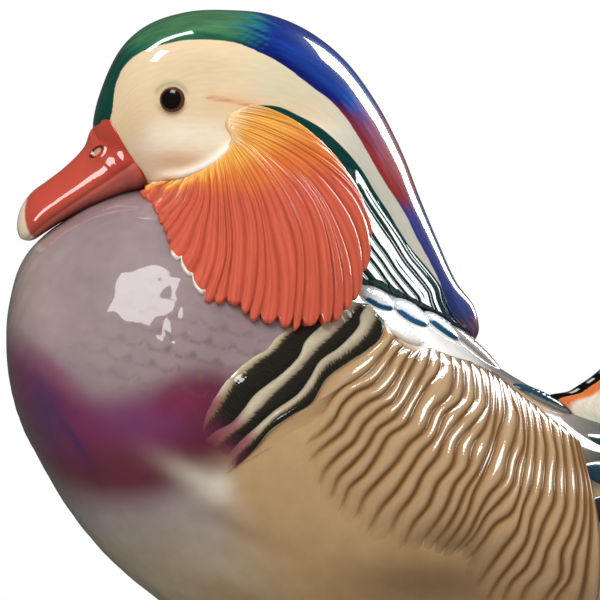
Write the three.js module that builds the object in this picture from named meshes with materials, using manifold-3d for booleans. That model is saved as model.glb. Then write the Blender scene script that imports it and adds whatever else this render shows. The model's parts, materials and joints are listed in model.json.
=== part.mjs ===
// A glazed porcelain drake, seated, cast in one piece.
// Millimetres, +Z up. The bill points along -X and the tail along +X, and the bird is the
// same on both sides of the plane Y = 0. The origin is on the ground under the middle.
import * as THREE from "three";
import { mergeVertices } from "three/addons/utils/BufferGeometryUtils.js";
import Module from "manifold-3d";

const wasm = await Module();
wasm.setup();

// Colour and finish of the glazed body
const PORCELAIN_TAN = 0xb69a78;
const GLAZE_ROUGHNESS = 0.12;

// Cross sections along the body: x, top z, bottom z, half width.
// The first and the last are its two poles.
const BODY_RIBS = [
  [-100.3, 76.1, 76.1, 0],
  [-99.6, 84, 66.5, 11],
  [-97, 93.4, 56.4, 21.1],
  [-92.2, 99.8, 46.6, 29.3],
  [-85, 105.1, 34.6, 35.5],
  [-75.4, 109.9, 23, 40.3],
  [-63.4, 112.6, 13, 43.4],
  [-49, 111.1, 3.4, 45.1],
  [-32.2, 103.4, -2.4, 45.8],
  [-15.4, 93.6, -3.8, 45.6],
  [1.4, 82.3, -3.8, 44.4],
  [18.2, 68.9, -2.2, 40.8],
  [35, 60, 1.2, 36],
  [51.8, 55.4, 8, 30.5],
  [68.6, 52.3, 18.5, 25],
  [84.2, 50.2, 32, 19],
  [95.5, 48.6, 41.5, 13],
  [100.3, 46.1, 46.1, 0],
];
// The body is fuller below its middle height by this share.
const BODY_FULLNESS = 0.12;
const BODY_RINGS = 27;
const BODY_SIDES = 24;

// Cross sections from the forehead over the crown to the tip of the crest:
// top x, top z, bottom x, bottom z, half width.
const HEAD_RIBS = [
  [-77.5, 124.1, -77.5, 124.1, 0],
  [-79, 130.8, -73.4, 118.8, 6.2],
  [-77, 137.5, -67.7, 113, 11],
  [-73, 145.2, -60.5, 108, 14.9],
  [-66.2, 151.4, -51.8, 104.4, 17.5],
  [-56.6, 154.6, -43, 102.5, 19],
  [-47, 155, -34.6, 101, 19.2],
  [-37.4, 153.8, -26.9, 99.6, 18.5],
  [-27.8, 149.8, -19.7, 94, 16.8],
  [-19, 142.8, -14, 90, 14.6],
  [-11.5, 132.7, -10, 87, 12.2],
  [-5.5, 121.2, -6, 83, 10.1],
  [-1, 109.7, -1.5, 80, 8.2],
  [3.4, 99.1, 2.4, 80, 6.5],
  [8.2, 89.8, 6.2, 79.6, 4.8],
  [12.6, 84, 9, 77.5, 3.2],
  [13.7, 78.5, 12, 76.3, 2],
  [12.4, 75.8, 12.4, 75.8, 0],
];
const HEAD_RINGS = 26;
const HEAD_SIDES = 16;

// Cross sections from the tip of the bill into the face.
const BILL_RIBS = [
  [-97.2, 100.6, -97.2, 100.6, 0],
  [-97.7, 103.4, -96, 99.6, 2.9],
  [-96.7, 107.5, -93.8, 99.6, 5],
  [-94.1, 111.1, -91, 101.3, 6.5],
  [-90.5, 113.8, -86.9, 103.9, 7],
  [-85.9, 117.4, -81.1, 107, 6.7],
  [-81.6, 122.2, -75.4, 109.4, 7],
  [-79.7, 126.5, -70.1, 111.6, 7.4],
  [-74.9, 127.9, -65.3, 113.5, 7.4],
  [-66, 121, -66, 121, 0],
];
const BILL_RINGS = 12;
const BILL_SIDES = 12;

// The neck is an egg between head and body.
const NECK = { x: -38, z: 98, long: 34, wide: 24, halfWidth: 24, lean: 0.25 };

// The cheek fan: where each flute starts, the point that bends it, and its tip,
// each as x, y, z on the +Y side, from the flute at the gape round to the one behind the eye.
const FAN_ROOT = [
  [-65.8, 9, 113], [-60.5, 14, 113.3], [-56.2, 16, 114.2], [-53, 17.5, 115.9],
  [-50.6, 18.5, 118.1], [-48.5, 19, 120.5], [-46.6, 19.3, 122.4], [-45.1, 19.5, 124.3],
  [-44.6, 19.6, 126.5], [-44.2, 19.4, 129.1], [-40.8, 18.8, 131.3],
];
const FAN_BEND = [
  [-66.7, 9, 112.3], [-61.9, 16, 110.4], [-57.1, 21, 108], [-50.9, 24, 105.6],
  [-44.6, 27, 103.9], [-37.9, 29.5, 105.6], [-31.4, 30.5, 108], [-25.9, 30, 110.9],
  [-22.6, 27, 115.9], [-25, 23, 122.9], [-34.6, 19.5, 130.3],
];
const FAN_TIP = [
  [-67.9, 9, 111.6], [-64.1, 19, 107.3], [-60.5, 27, 101], [-57.6, 33, 94.3],
  [-52.8, 37, 87.4], [-44.6, 38.5, 83], [-35.5, 38.5, 78.5], [-26.6, 36.5, 79],
  [-17.8, 31, 81.8], [-12.7, 24.5, 98.4], [-24.5, 18.3, 123.1],
];
const FLUTES = 29;
const FLUTE_HEIGHT = 0.9;
// The grooves between the flutes end short of the tips by this share, which scallops the edge.
const FLUTE_NOTCH = 0.035;
const FAN_ROWS = 5;
const FAN_HEART = [-40, 4, 104];

// The feather rows of breast and flank lie between an upper and a lower border,
// each as x, z: three broad rows behind the breast, then the narrow rows of the flank.
const ROWS_TOP = [
  [-22.6, 85.7], [-15.4, 85.2], [-10.6, 82.8], [-7.7, 78.5], [-1, 74.9], [6.2, 74.4],
  [12.2, 72.7], [16.3, 68.9], [21.1, 65.5], [26.6, 61.2], [31.4, 57.6], [35.5, 53.5],
];
const ROWS_BOTTOM = [
  [-56.6, 54.5], [-52.8, 50.2], [-48.5, 45.1], [-45.6, 42.5], [-37, 36], [-27, 31],
  [-16, 26], [-5, 22], [8, 18.5], [19, 15.5], [30, 13], [39.5, 12],
];
const BROAD_ROWS = 3;
const NARROW_ROWS = 17;
const BROAD_STEP = 1.2;
const NARROW_STEP = 0.9;
// A row rises from its front to this share of its width, then drops to the next row.
const ROW_EDGE = 0.86;
// The rows lie proud of the body, the last one most, and sink into it at their lower end.
const ROW_LIFT = 0.8;
const REAR_LIFT = 2.2;
const ROW_SUNK = 0.6;
const ROW_FADE = 0.2;
const WAVE_HEIGHT = 1.1;
const WAVES = 4.5;
const ROW_SAMPLES = 13;
const ROWS_HEART = [-6, 4, 44];

// Mantle and shoulder feathers: x, z of the middle, length, width and lean in the side view.
const LOBES = [
  { x: -9, z: 84, long: 7, wide: 4.5, lean: -0.35 },
  { x: -2, z: 80.5, long: 7.5, wide: 4.5, lean: -0.6 },
  { x: 9.5, z: 75.5, long: 10, wide: 4.5, lean: -0.8 },
  { x: 23, z: 62.5, long: 12, wide: 4.5, lean: -0.62 },
];
const LOBE_THICKNESS = 1.8;
// How far the middle of such a feather lies outside the body
const FEATHER_PROUD = 0.3;

// Folded wing quills behind the flank, from the upper one down.
const QUILLS = [
  { x: 57, z: 48.5, long: 33, wide: 5.5, lean: -0.08 },
  { x: 53, z: 42, long: 29, wide: 5.5, lean: 0.02 },
  { x: 49, z: 35.5, long: 24, wide: 5.5, lean: 0.12 },
];
const QUILL_THICKNESS = 2.4;

// Cross sections of a sail feather from inside the wing up to its tip:
// front x, front z, rear x, rear z, half thickness.
const SAIL_RIBS = [
  [50, 45, 50, 45, 0],
  [29.8, 60.2, 69.8, 47, 1.6],
  [35.5, 63.6, 74, 60, 1.6],
  [42, 68.2, 76.8, 68, 1.5],
  [50, 76.5, 79.5, 78, 1.5],
  [57.5, 88, 80.5, 89.5, 1.4],
  [63.5, 98.5, 78, 100, 1.1],
  [71, 106, 71, 106, 0],
];
const SAIL_RINGS = 10;
const SAIL_SIDES = 10;
const SAIL_APART = 10;
const SAIL_FLARE = 0.02;

// How often the search for a place along the body halves its range.
const HALVINGS = 24;

// The eye is a low dome.
const EYE = { x: -60.5, y: 14.3, z: 133.2, radius: 3.1, bulge: 1.6 };

// What lies below the ground is cut away as a slab of this width and depth.
const SLAB_WIDTH = 400;
const SLAB_DEPTH = 40;

// A smooth curve through the rows of a table, with one row added before and one after,
// as a function that takes 0 at the first row and 1 at the last.
function curveThrough(rows, before, after) {
  const points = [before, ...rows, after].map((row) => new THREE.Vector3(...row));
  const curve = new THREE.CatmullRomCurve3(points, false, "catmullrom", 0.5);
  const steps = points.length - 1;
  return (share) => curve.getPoint((1 + share * (rows.length - 1)) / steps);
}

// A smooth curve through the rows of a table, which runs straight on past both ends.
function openCurve(rows) {
  const past = (end, inner) => end.map((value, i) => 2 * value - inner[i]);
  const last = rows.length - 1;
  return curveThrough(rows, past(rows[0], rows[1]), past(rows[last], rows[last - 1]));
}

// The top and the bottom line of a row of ribs as two curves that meet at round poles.
// A curve's x and z are the place and its y the half width.
function ribCurves(ribs) {
  const top = ribs.map(([x, z, , , half]) => [x, half, z]);
  const bottom = ribs.map(([, , x, z, half]) => [x, half, z]);
  const past = ([x, half, z]) => [x, -half, z];
  const last = ribs.length - 1;
  return {
    top: curveThrough(top, past(bottom[1]), past(bottom[last - 1])),
    bottom: curveThrough(bottom, past(top[1]), past(top[last - 1])),
  };
}

const uprightRibs = BODY_RIBS.map(([x, top, bottom, half]) => [x, top, x, bottom, half]);
const bodyCurves = ribCurves(uprightRibs);

// The body's half width at a place in the side view, or 0 past its outline.
// The rib at x is found by halving.
function bodySide(x, z) {
  let low = 0;
  let high = 1;
  for (let i = 0; i < HALVINGS; i += 1) {
    const middle = (low + high) / 2;
    if (bodyCurves.top(middle).x < x) low = middle;
    else high = middle;
  }
  const top = bodyCurves.top(low);
  const bottom = bodyCurves.bottom(low);
  const rise = (2 * z - top.z - bottom.z) / (top.z - bottom.z);
  if (Math.abs(rise) >= 1) return 0;
  return top.y * Math.sqrt(1 - rise * rise) * (1 - BODY_FULLNESS * rise);
}

function geometryOf(points, triangles) {
  const geometry = new THREE.BufferGeometry();
  geometry.setAttribute("position", new THREE.Float32BufferAttribute(points.flat(), 3));
  geometry.setIndex(triangles.flat());
  return geometry;
}

// A closed form with a round section at each ring and a pole at each end.
function loft(ribs, rings, sides, fullness = 0) {
  const { top, bottom } = ribCurves(ribs);
  const points = [];
  for (let ring = 1; ring < rings; ring += 1) {
    const a = top(ring / rings);
    const b = bottom(ring / rings);
    for (let side = 0; side < sides; side += 1) {
      const angle = (2 * Math.PI * side) / sides;
      const rise = Math.cos(angle);
      points.push([
        (a.x + b.x) / 2 + ((a.x - b.x) / 2) * rise,
        a.y * Math.sin(angle) * (1 - fullness * rise),
        (a.z + b.z) / 2 + ((a.z - b.z) / 2) * rise,
      ]);
    }
  }
  const start = points.push([ribs[0][0], 0, ribs[0][1]]) - 1;
  const end = points.push([ribs.at(-1)[0], 0, ribs.at(-1)[1]]) - 1;
  const at = (ring, side) => (ring - 1) * sides + (side % sides);
  const triangles = [];
  for (let side = 0; side < sides; side += 1) {
    triangles.push([start, at(1, side), at(1, side + 1)]);
    triangles.push([end, at(rings - 1, side + 1), at(rings - 1, side)]);
    for (let ring = 1; ring < rings - 1; ring += 1) {
      triangles.push([at(ring, side), at(ring + 1, side), at(ring + 1, side + 1)]);
      triangles.push([at(ring, side), at(ring + 1, side + 1), at(ring, side + 1)]);
    }
  }
  return geometryOf(points, triangles);
}

// A sheet over a grid of places, closed behind by a cone to a point inside the bird.
function backedSheet(rows, columns, place, heart) {
  const points = [];
  for (let row = 0; row <= rows; row += 1) {
    for (let column = 0; column <= columns; column += 1) {
      points.push(place(row / rows, column / columns));
    }
  }
  const inner = points.push(heart) - 1;
  const at = (row, column) => row * (columns + 1) + column;
  const triangles = [];
  for (let row = 0; row < rows; row += 1) {
    for (let column = 0; column < columns; column += 1) {
      triangles.push([at(row, column), at(row + 1, column), at(row + 1, column + 1)]);
      triangles.push([at(row, column), at(row + 1, column + 1), at(row, column + 1)]);
    }
  }
  for (let column = 0; column < columns; column += 1) {
    triangles.push([at(0, column), at(0, column + 1), inner]);
    triangles.push([at(rows, column + 1), at(rows, column), inner]);
  }
  for (let row = 0; row < rows; row += 1) {
    triangles.push([at(row + 1, 0), at(row, 0), inner]);
    triangles.push([at(row, columns), at(row + 1, columns), inner]);
  }
  return geometryOf(points, triangles);
}

// A cheek fan: flutes bent from root to tip, each a ridge between two grooves.
function fan() {
  const root = openCurve(FAN_ROOT);
  const bend = openCurve(FAN_BEND);
  const tip = openCurve(FAN_TIP);
  const place = (across, along) => {
    const groove = Math.round(across * 2 * FLUTES) % 2 === 0;
    const reach = along * (groove ? 1 - FLUTE_NOTCH : 1);
    const point = new THREE.Vector3()
      .addScaledVector(root(across), (1 - reach) ** 2)
      .addScaledVector(bend(across), 2 * reach * (1 - reach))
      .addScaledVector(tip(across), reach ** 2);
    const ridge = groove ? 0 : FLUTE_HEIGHT * Math.min(1, 3 * along);
    return [point.x, point.y + ridge, point.z];
  };
  return backedSheet(2 * FLUTES, FAN_ROWS, place, FAN_HEART);
}

const withHeight = (rows) => rows.map(([x, z]) => [x, 0, z]);
const rowsTop = openCurve(withHeight(ROWS_TOP));
const rowsBottom = openCurve(withHeight(ROWS_BOTTOM));

// The place in the side view on a feather row's front line, at a share of its length from
// the top. The line is straight but for its waves.
function rowPlace(row, share) {
  const across = row / (BROAD_ROWS + NARROW_ROWS);
  const knots = ROWS_TOP.length - 1;
  const broadKnots = BROAD_ROWS / knots;
  const rest = (row - BROAD_ROWS) / NARROW_ROWS;
  const knot = row < BROAD_ROWS ? row / knots : broadKnots + (1 - broadKnots) * rest;
  const top = rowsTop(knot);
  const bottom = rowsBottom(knot);
  const line = new THREE.Vector3().subVectors(bottom, top);
  const wave = WAVE_HEIGHT * Math.sin(2 * Math.PI * (WAVES * share + across));
  const sway = (wave * Math.sin(Math.PI * share) ** 0.5) / line.length();
  return [top.x + line.x * share + line.z * sway, top.z + line.z * share - line.x * sway];
}

// The feather rows of one side: each rises towards its rear edge and drops to the next.
function featherRows() {
  const rows = BROAD_ROWS + NARROW_ROWS;
  const place = (across, along) => {
    const line = Math.round(across * 2 * rows);
    const rowNumber = Math.floor(line / 2);
    const atEdge = line % 2 === 1;
    const row = atEdge ? rowNumber + ROW_EDGE : rowNumber;
    const [x, z] = rowPlace(Math.min(row, rows), along);
    const fade = Math.min(1, (1 - along) / ROW_FADE);
    const step = rowNumber < BROAD_ROWS ? BROAD_STEP : NARROW_STEP;
    const lift = ROW_LIFT + (REAR_LIFT - ROW_LIFT) * across ** 6;
    const proud = fade * (lift + (atEdge ? step : 0)) - ROW_SUNK * (1 - fade);
    return [x, bodySide(x, z) + proud, z];
  };
  return backedSheet(2 * rows, ROW_SAMPLES, place, ROWS_HEART);
}

// A feather that lies on the body's side: a flat egg that stands a little proud of it.
function feather(shape, thickness) {
  const depth = bodySide(shape.x, shape.z);
  const slope = (bodySide(shape.x, shape.z + 1) - bodySide(shape.x, shape.z - 1)) / 2;
  const sweep = (bodySide(shape.x + 1, shape.z) - bodySide(shape.x - 1, shape.z)) / 2;
  const out = new THREE.Vector3(-sweep, 1, -slope).normalize();
  const along = new THREE.Vector3(Math.cos(shape.lean), 0, Math.sin(shape.lean));
  along.addScaledVector(out, -along.dot(out)).normalize();
  const across = new THREE.Vector3().crossVectors(along, out);
  const turn = new THREE.Matrix4().makeBasis(along, out, across);
  const geometry = new THREE.SphereGeometry(1, 9, 6);
  geometry.scale(shape.long, thickness, shape.wide);
  geometry.applyMatrix4(turn);
  geometry.translate(shape.x, depth + FEATHER_PROUD, shape.z);
  return geometry;
}

// A sail feather stands up from the wing and leans a little outwards.
function sail() {
  const geometry = loft(SAIL_RIBS, SAIL_RINGS, SAIL_SIDES);
  const foot = SAIL_RIBS[1][1];
  geometry.translate(0, 0, -foot);
  geometry.rotateX(-SAIL_FLARE);
  geometry.translate(0, SAIL_APART, foot);
  return geometry;
}

function neck() {
  const geometry = new THREE.SphereGeometry(1, 14, 10);
  geometry.scale(NECK.wide, NECK.halfWidth, NECK.long);
  geometry.rotateY(-NECK.lean);
  geometry.translate(NECK.x, 0, NECK.z);
  return geometry;
}

function eye() {
  const geometry = new THREE.SphereGeometry(1, 8, 6);
  geometry.scale(EYE.radius, EYE.bulge, EYE.radius);
  geometry.translate(EYE.x, EYE.y, EYE.z);
  return geometry;
}

function slabUnderGround() {
  const geometry = new THREE.BoxGeometry(SLAB_WIDTH, SLAB_WIDTH, SLAB_DEPTH);
  geometry.translate(0, 0, -SLAB_DEPTH / 2);
  return geometry;
}

// A closed geometry as a solid that can be joined and cut.
function solidOf(geometry) {
  geometry.deleteAttribute("normal");
  geometry.deleteAttribute("uv");
  const merged = mergeVertices(geometry, 1e-4);
  return new wasm.Manifold(
    new wasm.Mesh({
      numProp: 3,
      vertProperties: merged.attributes.position.array,
      triVerts: new Uint32Array(merged.index.array),
    }),
  );
}

function geometryFrom(solid) {
  const mesh = solid.getMesh();
  const geometry = new THREE.BufferGeometry();
  geometry.setAttribute("position", new THREE.BufferAttribute(mesh.vertProperties, 3));
  geometry.setIndex(new THREE.BufferAttribute(mesh.triVerts, 1));
  geometry.computeVertexNormals();
  return geometry;
}

function duckGeometry() {
  const forms = [
    loft(uprightRibs, BODY_RINGS, BODY_SIDES, BODY_FULLNESS),
    loft(HEAD_RIBS, HEAD_RINGS, HEAD_SIDES),
    loft(BILL_RIBS, BILL_RINGS, BILL_SIDES),
    neck(),
  ];
  const pairs = [
    fan(),
    featherRows(),
    sail(),
    eye(),
    ...LOBES.map((lobe) => feather(lobe, LOBE_THICKNESS)),
    ...QUILLS.map((quill) => feather(quill, QUILL_THICKNESS)),
  ];
  const solids = forms.map(solidOf);
  for (const form of pairs) {
    const solid = solidOf(form);
    solids.push(solid, solid.mirror([0, 1, 0]));
  }
  const joined = solids.reduce((whole, solid) => whole.add(solid));
  // Only the outer skin is kept, which fills the small hollows that the forms leave between them.
  const skin = joined.decompose().reduce((most, shell) => (shell.volume() > most.volume() ? shell : most));
  return geometryFrom(skin.subtract(solidOf(slabUnderGround())));
}

const glazedPorcelain = new THREE.MeshStandardMaterial({
  color: PORCELAIN_TAN,
  roughness: GLAZE_ROUGHNESS,
  metalness: 0,
});

const drake = new THREE.Group();
const duck = new THREE.Mesh(duckGeometry(), glazedPorcelain);
duck.name = "duck";
drake.add(duck);

export default drake;
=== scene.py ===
"""The looks of a glazed porcelain drake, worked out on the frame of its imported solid.

Places are in millimetres in the part's frame: x runs towards the tail, z up, and y towards
the bird's right. A line that is seen from the side is a table of x and z.
"""

import bpy
import numpy as np
from mathutils import Matrix, Vector
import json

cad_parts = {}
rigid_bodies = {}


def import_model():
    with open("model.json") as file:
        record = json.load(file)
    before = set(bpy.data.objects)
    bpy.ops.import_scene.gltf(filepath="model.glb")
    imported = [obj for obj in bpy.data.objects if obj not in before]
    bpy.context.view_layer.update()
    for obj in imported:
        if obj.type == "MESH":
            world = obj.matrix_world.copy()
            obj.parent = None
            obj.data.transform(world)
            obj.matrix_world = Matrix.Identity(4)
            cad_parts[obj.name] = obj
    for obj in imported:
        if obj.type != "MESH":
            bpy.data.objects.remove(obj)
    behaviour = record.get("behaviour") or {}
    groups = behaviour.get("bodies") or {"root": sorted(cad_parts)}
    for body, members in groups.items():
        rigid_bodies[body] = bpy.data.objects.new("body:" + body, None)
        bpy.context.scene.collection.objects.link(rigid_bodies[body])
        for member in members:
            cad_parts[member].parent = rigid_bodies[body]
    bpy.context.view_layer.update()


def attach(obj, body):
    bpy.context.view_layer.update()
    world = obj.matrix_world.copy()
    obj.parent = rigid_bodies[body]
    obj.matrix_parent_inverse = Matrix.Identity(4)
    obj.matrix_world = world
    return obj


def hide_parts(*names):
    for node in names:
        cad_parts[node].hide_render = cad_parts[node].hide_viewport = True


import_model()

MM = 0.001

# Cross sections along the body: top x, top z, bottom x, bottom z, half width.
BODY_RIBS = np.array([
    [x, top, x, bottom, half] for x, top, bottom, half in [
        (-100.25, 76.1, 76.1, 0), (-99.6, 84, 66.5, 11), (-97, 93.4, 56.4, 21.1),
        (-92.2, 99.8, 46.6, 29.3), (-85, 105.1, 34.6, 35.5), (-75.4, 109.9, 23, 40.3),
        (-63.4, 112.6, 13, 43.4), (-49, 111.1, 3.4, 45.1), (-32.2, 103.4, -2.4, 45.8),
        (-15.4, 93.6, -3.8, 45.6), (1.4, 82.3, -3.8, 44.4), (18.2, 68.9, -2.2, 40.8),
        (35, 60, 1.2, 36), (51.8, 55.4, 8, 30.5), (68.6, 52.3, 18.5, 25),
        (84.2, 50.2, 32, 19), (95.5, 48.6, 41.5, 13), (100.3, 46.1, 46.1, 0),
    ]
])
BODY_FULLNESS = 0.12
BODY_MIDDLE = (-10.0, 0.0, 50.0)

# Cross sections from the forehead over the crown to the tip of the crest.
HEAD_RIBS = np.array([
    [-77.6, 120.8, -77.6, 120.8, 0], [-79.5, 126.6, -73.4, 116.4, 6.2], [-77.6, 135.4, -67.7, 112, 11],
    [-73, 145.2, -60.5, 108, 14.9], [-66.2, 151.3, -51.8, 104.4, 17.5], [-56.6, 154.4, -43, 102.5, 19],
    [-47, 154.8, -34.6, 101, 19.2], [-37.4, 153.8, -26.9, 99.6, 18.5], [-27.8, 149.8, -19.7, 94, 16.8],
    [-19, 142.8, -14, 90, 14.6], [-11.5, 132.7, -10, 87, 12.2], [-5.5, 121.2, -6, 83, 10.1],
    [-1, 109.7, -1.5, 80, 8.2], [3.4, 99.1, 2.4, 80, 6.5], [7.6, 89.8, 6, 79.6, 4.8],
    [11.8, 84, 8.8, 77.5, 3.2], [13.2, 78.5, 11.6, 76.3, 2], [12.2, 75.6, 12.2, 75.6, 0],
])
HEAD_MIDDLE = (-45.0, 0.0, 125.0)

# Cross sections from the tip of the bill into the face.
BILL_RIBS = np.array([
    [-97.2, 100.6, -97.2, 100.6, 0], [-97.7, 103.4, -96, 99.6, 2.9], [-96.7, 107.5, -93.8, 99.6, 5],
    [-94.1, 111.1, -91, 101.3, 6.5], [-90.5, 113.8, -86.9, 103.9, 7], [-85.9, 117.4, -81.1, 107, 6.9],
    [-81.7, 121.8, -75.6, 109.2, 7.5], [-79.6, 126.4, -70.6, 111, 8.9], [-75, 128.2, -66.4, 112.8, 9.8],
    [-66, 121, -66, 121, 0],
])
BILL_FULLNESS = 0.42
BILL_MIDDLE = (-83.0, 0.0, 112.0)

# The neck is an egg between head and body: middle x and z, half length, half depth, half width, lean.
NECK = {"x": -38.0, "z": 94.0, "long": 28.0, "wide": 24.0, "half": 24.0, "lean": 0.25}

# The cheek fan: where each flute starts, the point that bends it, and its tip, as x, y, z.
FAN_ROOT = [
    (-66.5, 9, 113.5), (-58.6, 13.5, 114.7), (-55.7, 15.2, 115.9), (-53.5, 16.4, 117.1), (-51.4, 17.4, 118.6),
    (-49.7, 18.2, 120), (-48.2, 19, 121.4), (-47.3, 19.8, 122.6), (-46.8, 20.1, 123.8), (-47, 20.2, 125),
    (-47.5, 20.2, 126), (-47.8, 20.2, 127), (-47.5, 20.2, 128.2), (-46.6, 20, 129.6), (-44.6, 19.8, 131),
    (-41.8, 19.4, 132),
]
FAN_BEND = [
    (-67, 9, 112.6), (-61.2, 15, 110.6), (-56.4, 20, 109.4), (-52.3, 25, 106.1), (-48.7, 29, 101),
    (-45.1, 31.5, 98.9), (-40.8, 33, 99.6), (-34.6, 34, 102), (-28.8, 33.5, 105.1), (-24.2, 31, 111.4),
    (-18.7, 29, 113.5), (-15.1, 27, 114), (-15.1, 24, 118.8), (-21.6, 21.4, 125.3), (-30.7, 19.8, 129.8),
    (-34.6, 19.2, 131.5),
]
FAN_TIP = [
    (-68.2, 9.5, 111.4), (-64.6, 18, 107.5), (-62.4, 25, 103), (-60.5, 30, 97.7), (-54.7, 36, 88.1),
    (-50.6, 37.5, 85.2), (-45.1, 38.3, 84), (-40.3, 38.8, 80.6), (-34.1, 39, 78), (-29, 38, 79),
    (-22.6, 35.5, 79.7), (-17, 31.5, 84.5), (-13, 25.5, 96.7), (-14.6, 21.5, 107.8), (-21.6, 19, 119.3),
    (-26.4, 18, 124.1),
]
FAN_HEART = (-40.0, 4.0, 104.0)
FLUTES = 27
FAN_STEPS = 100
# The head's rings and the places around each; the first rings, up to FACE_RINGS, hold the face
HEAD_RINGS = 370
HEAD_SIDES = 224
FACE_RINGS = 80

# Edges of the three dark bars, read one by one: the first bar's front edge, then each rear edge
BARS = [
    [(-22.6, 85.2), (-27.8, 81.4), (-32.2, 79), (-35.3, 77), (-38.6, 73.9), (-42.2, 71.8),
     (-46.6, 68.4), (-49, 65.3), (-51.4, 61), (-52.3, 58.6), (-54.2, 52.6)],
    [(-17.8, 85.4), (-21.1, 81.4), (-24.7, 78.5), (-28.1, 75.1), (-29.8, 71.3), (-34.1, 67),
     (-39.8, 62.6), (-43, 58.6), (-45.8, 55.7), (-50.2, 53.3), (-54.2, 49.2)],
    [(-13, 84.5), (-15.1, 81.4), (-15.6, 78.5), (-19.9, 73.9), (-24.7, 70.6), (-27.1, 66.5),
     (-30, 62.6), (-35.3, 59), (-39.8, 55), (-44.2, 50.9), (-49.2, 44.9)],
    [(-9.6, 80.9), (-10.3, 76.1), (-13.9, 72.7), (-18.5, 69.8), (-23.5, 66), (-27.1, 60.2),
     (-31.9, 57.4), (-37, 53.8), (-40.3, 49.7), (-44.4, 45.8), (-48.5, 43.4)],
]
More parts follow.
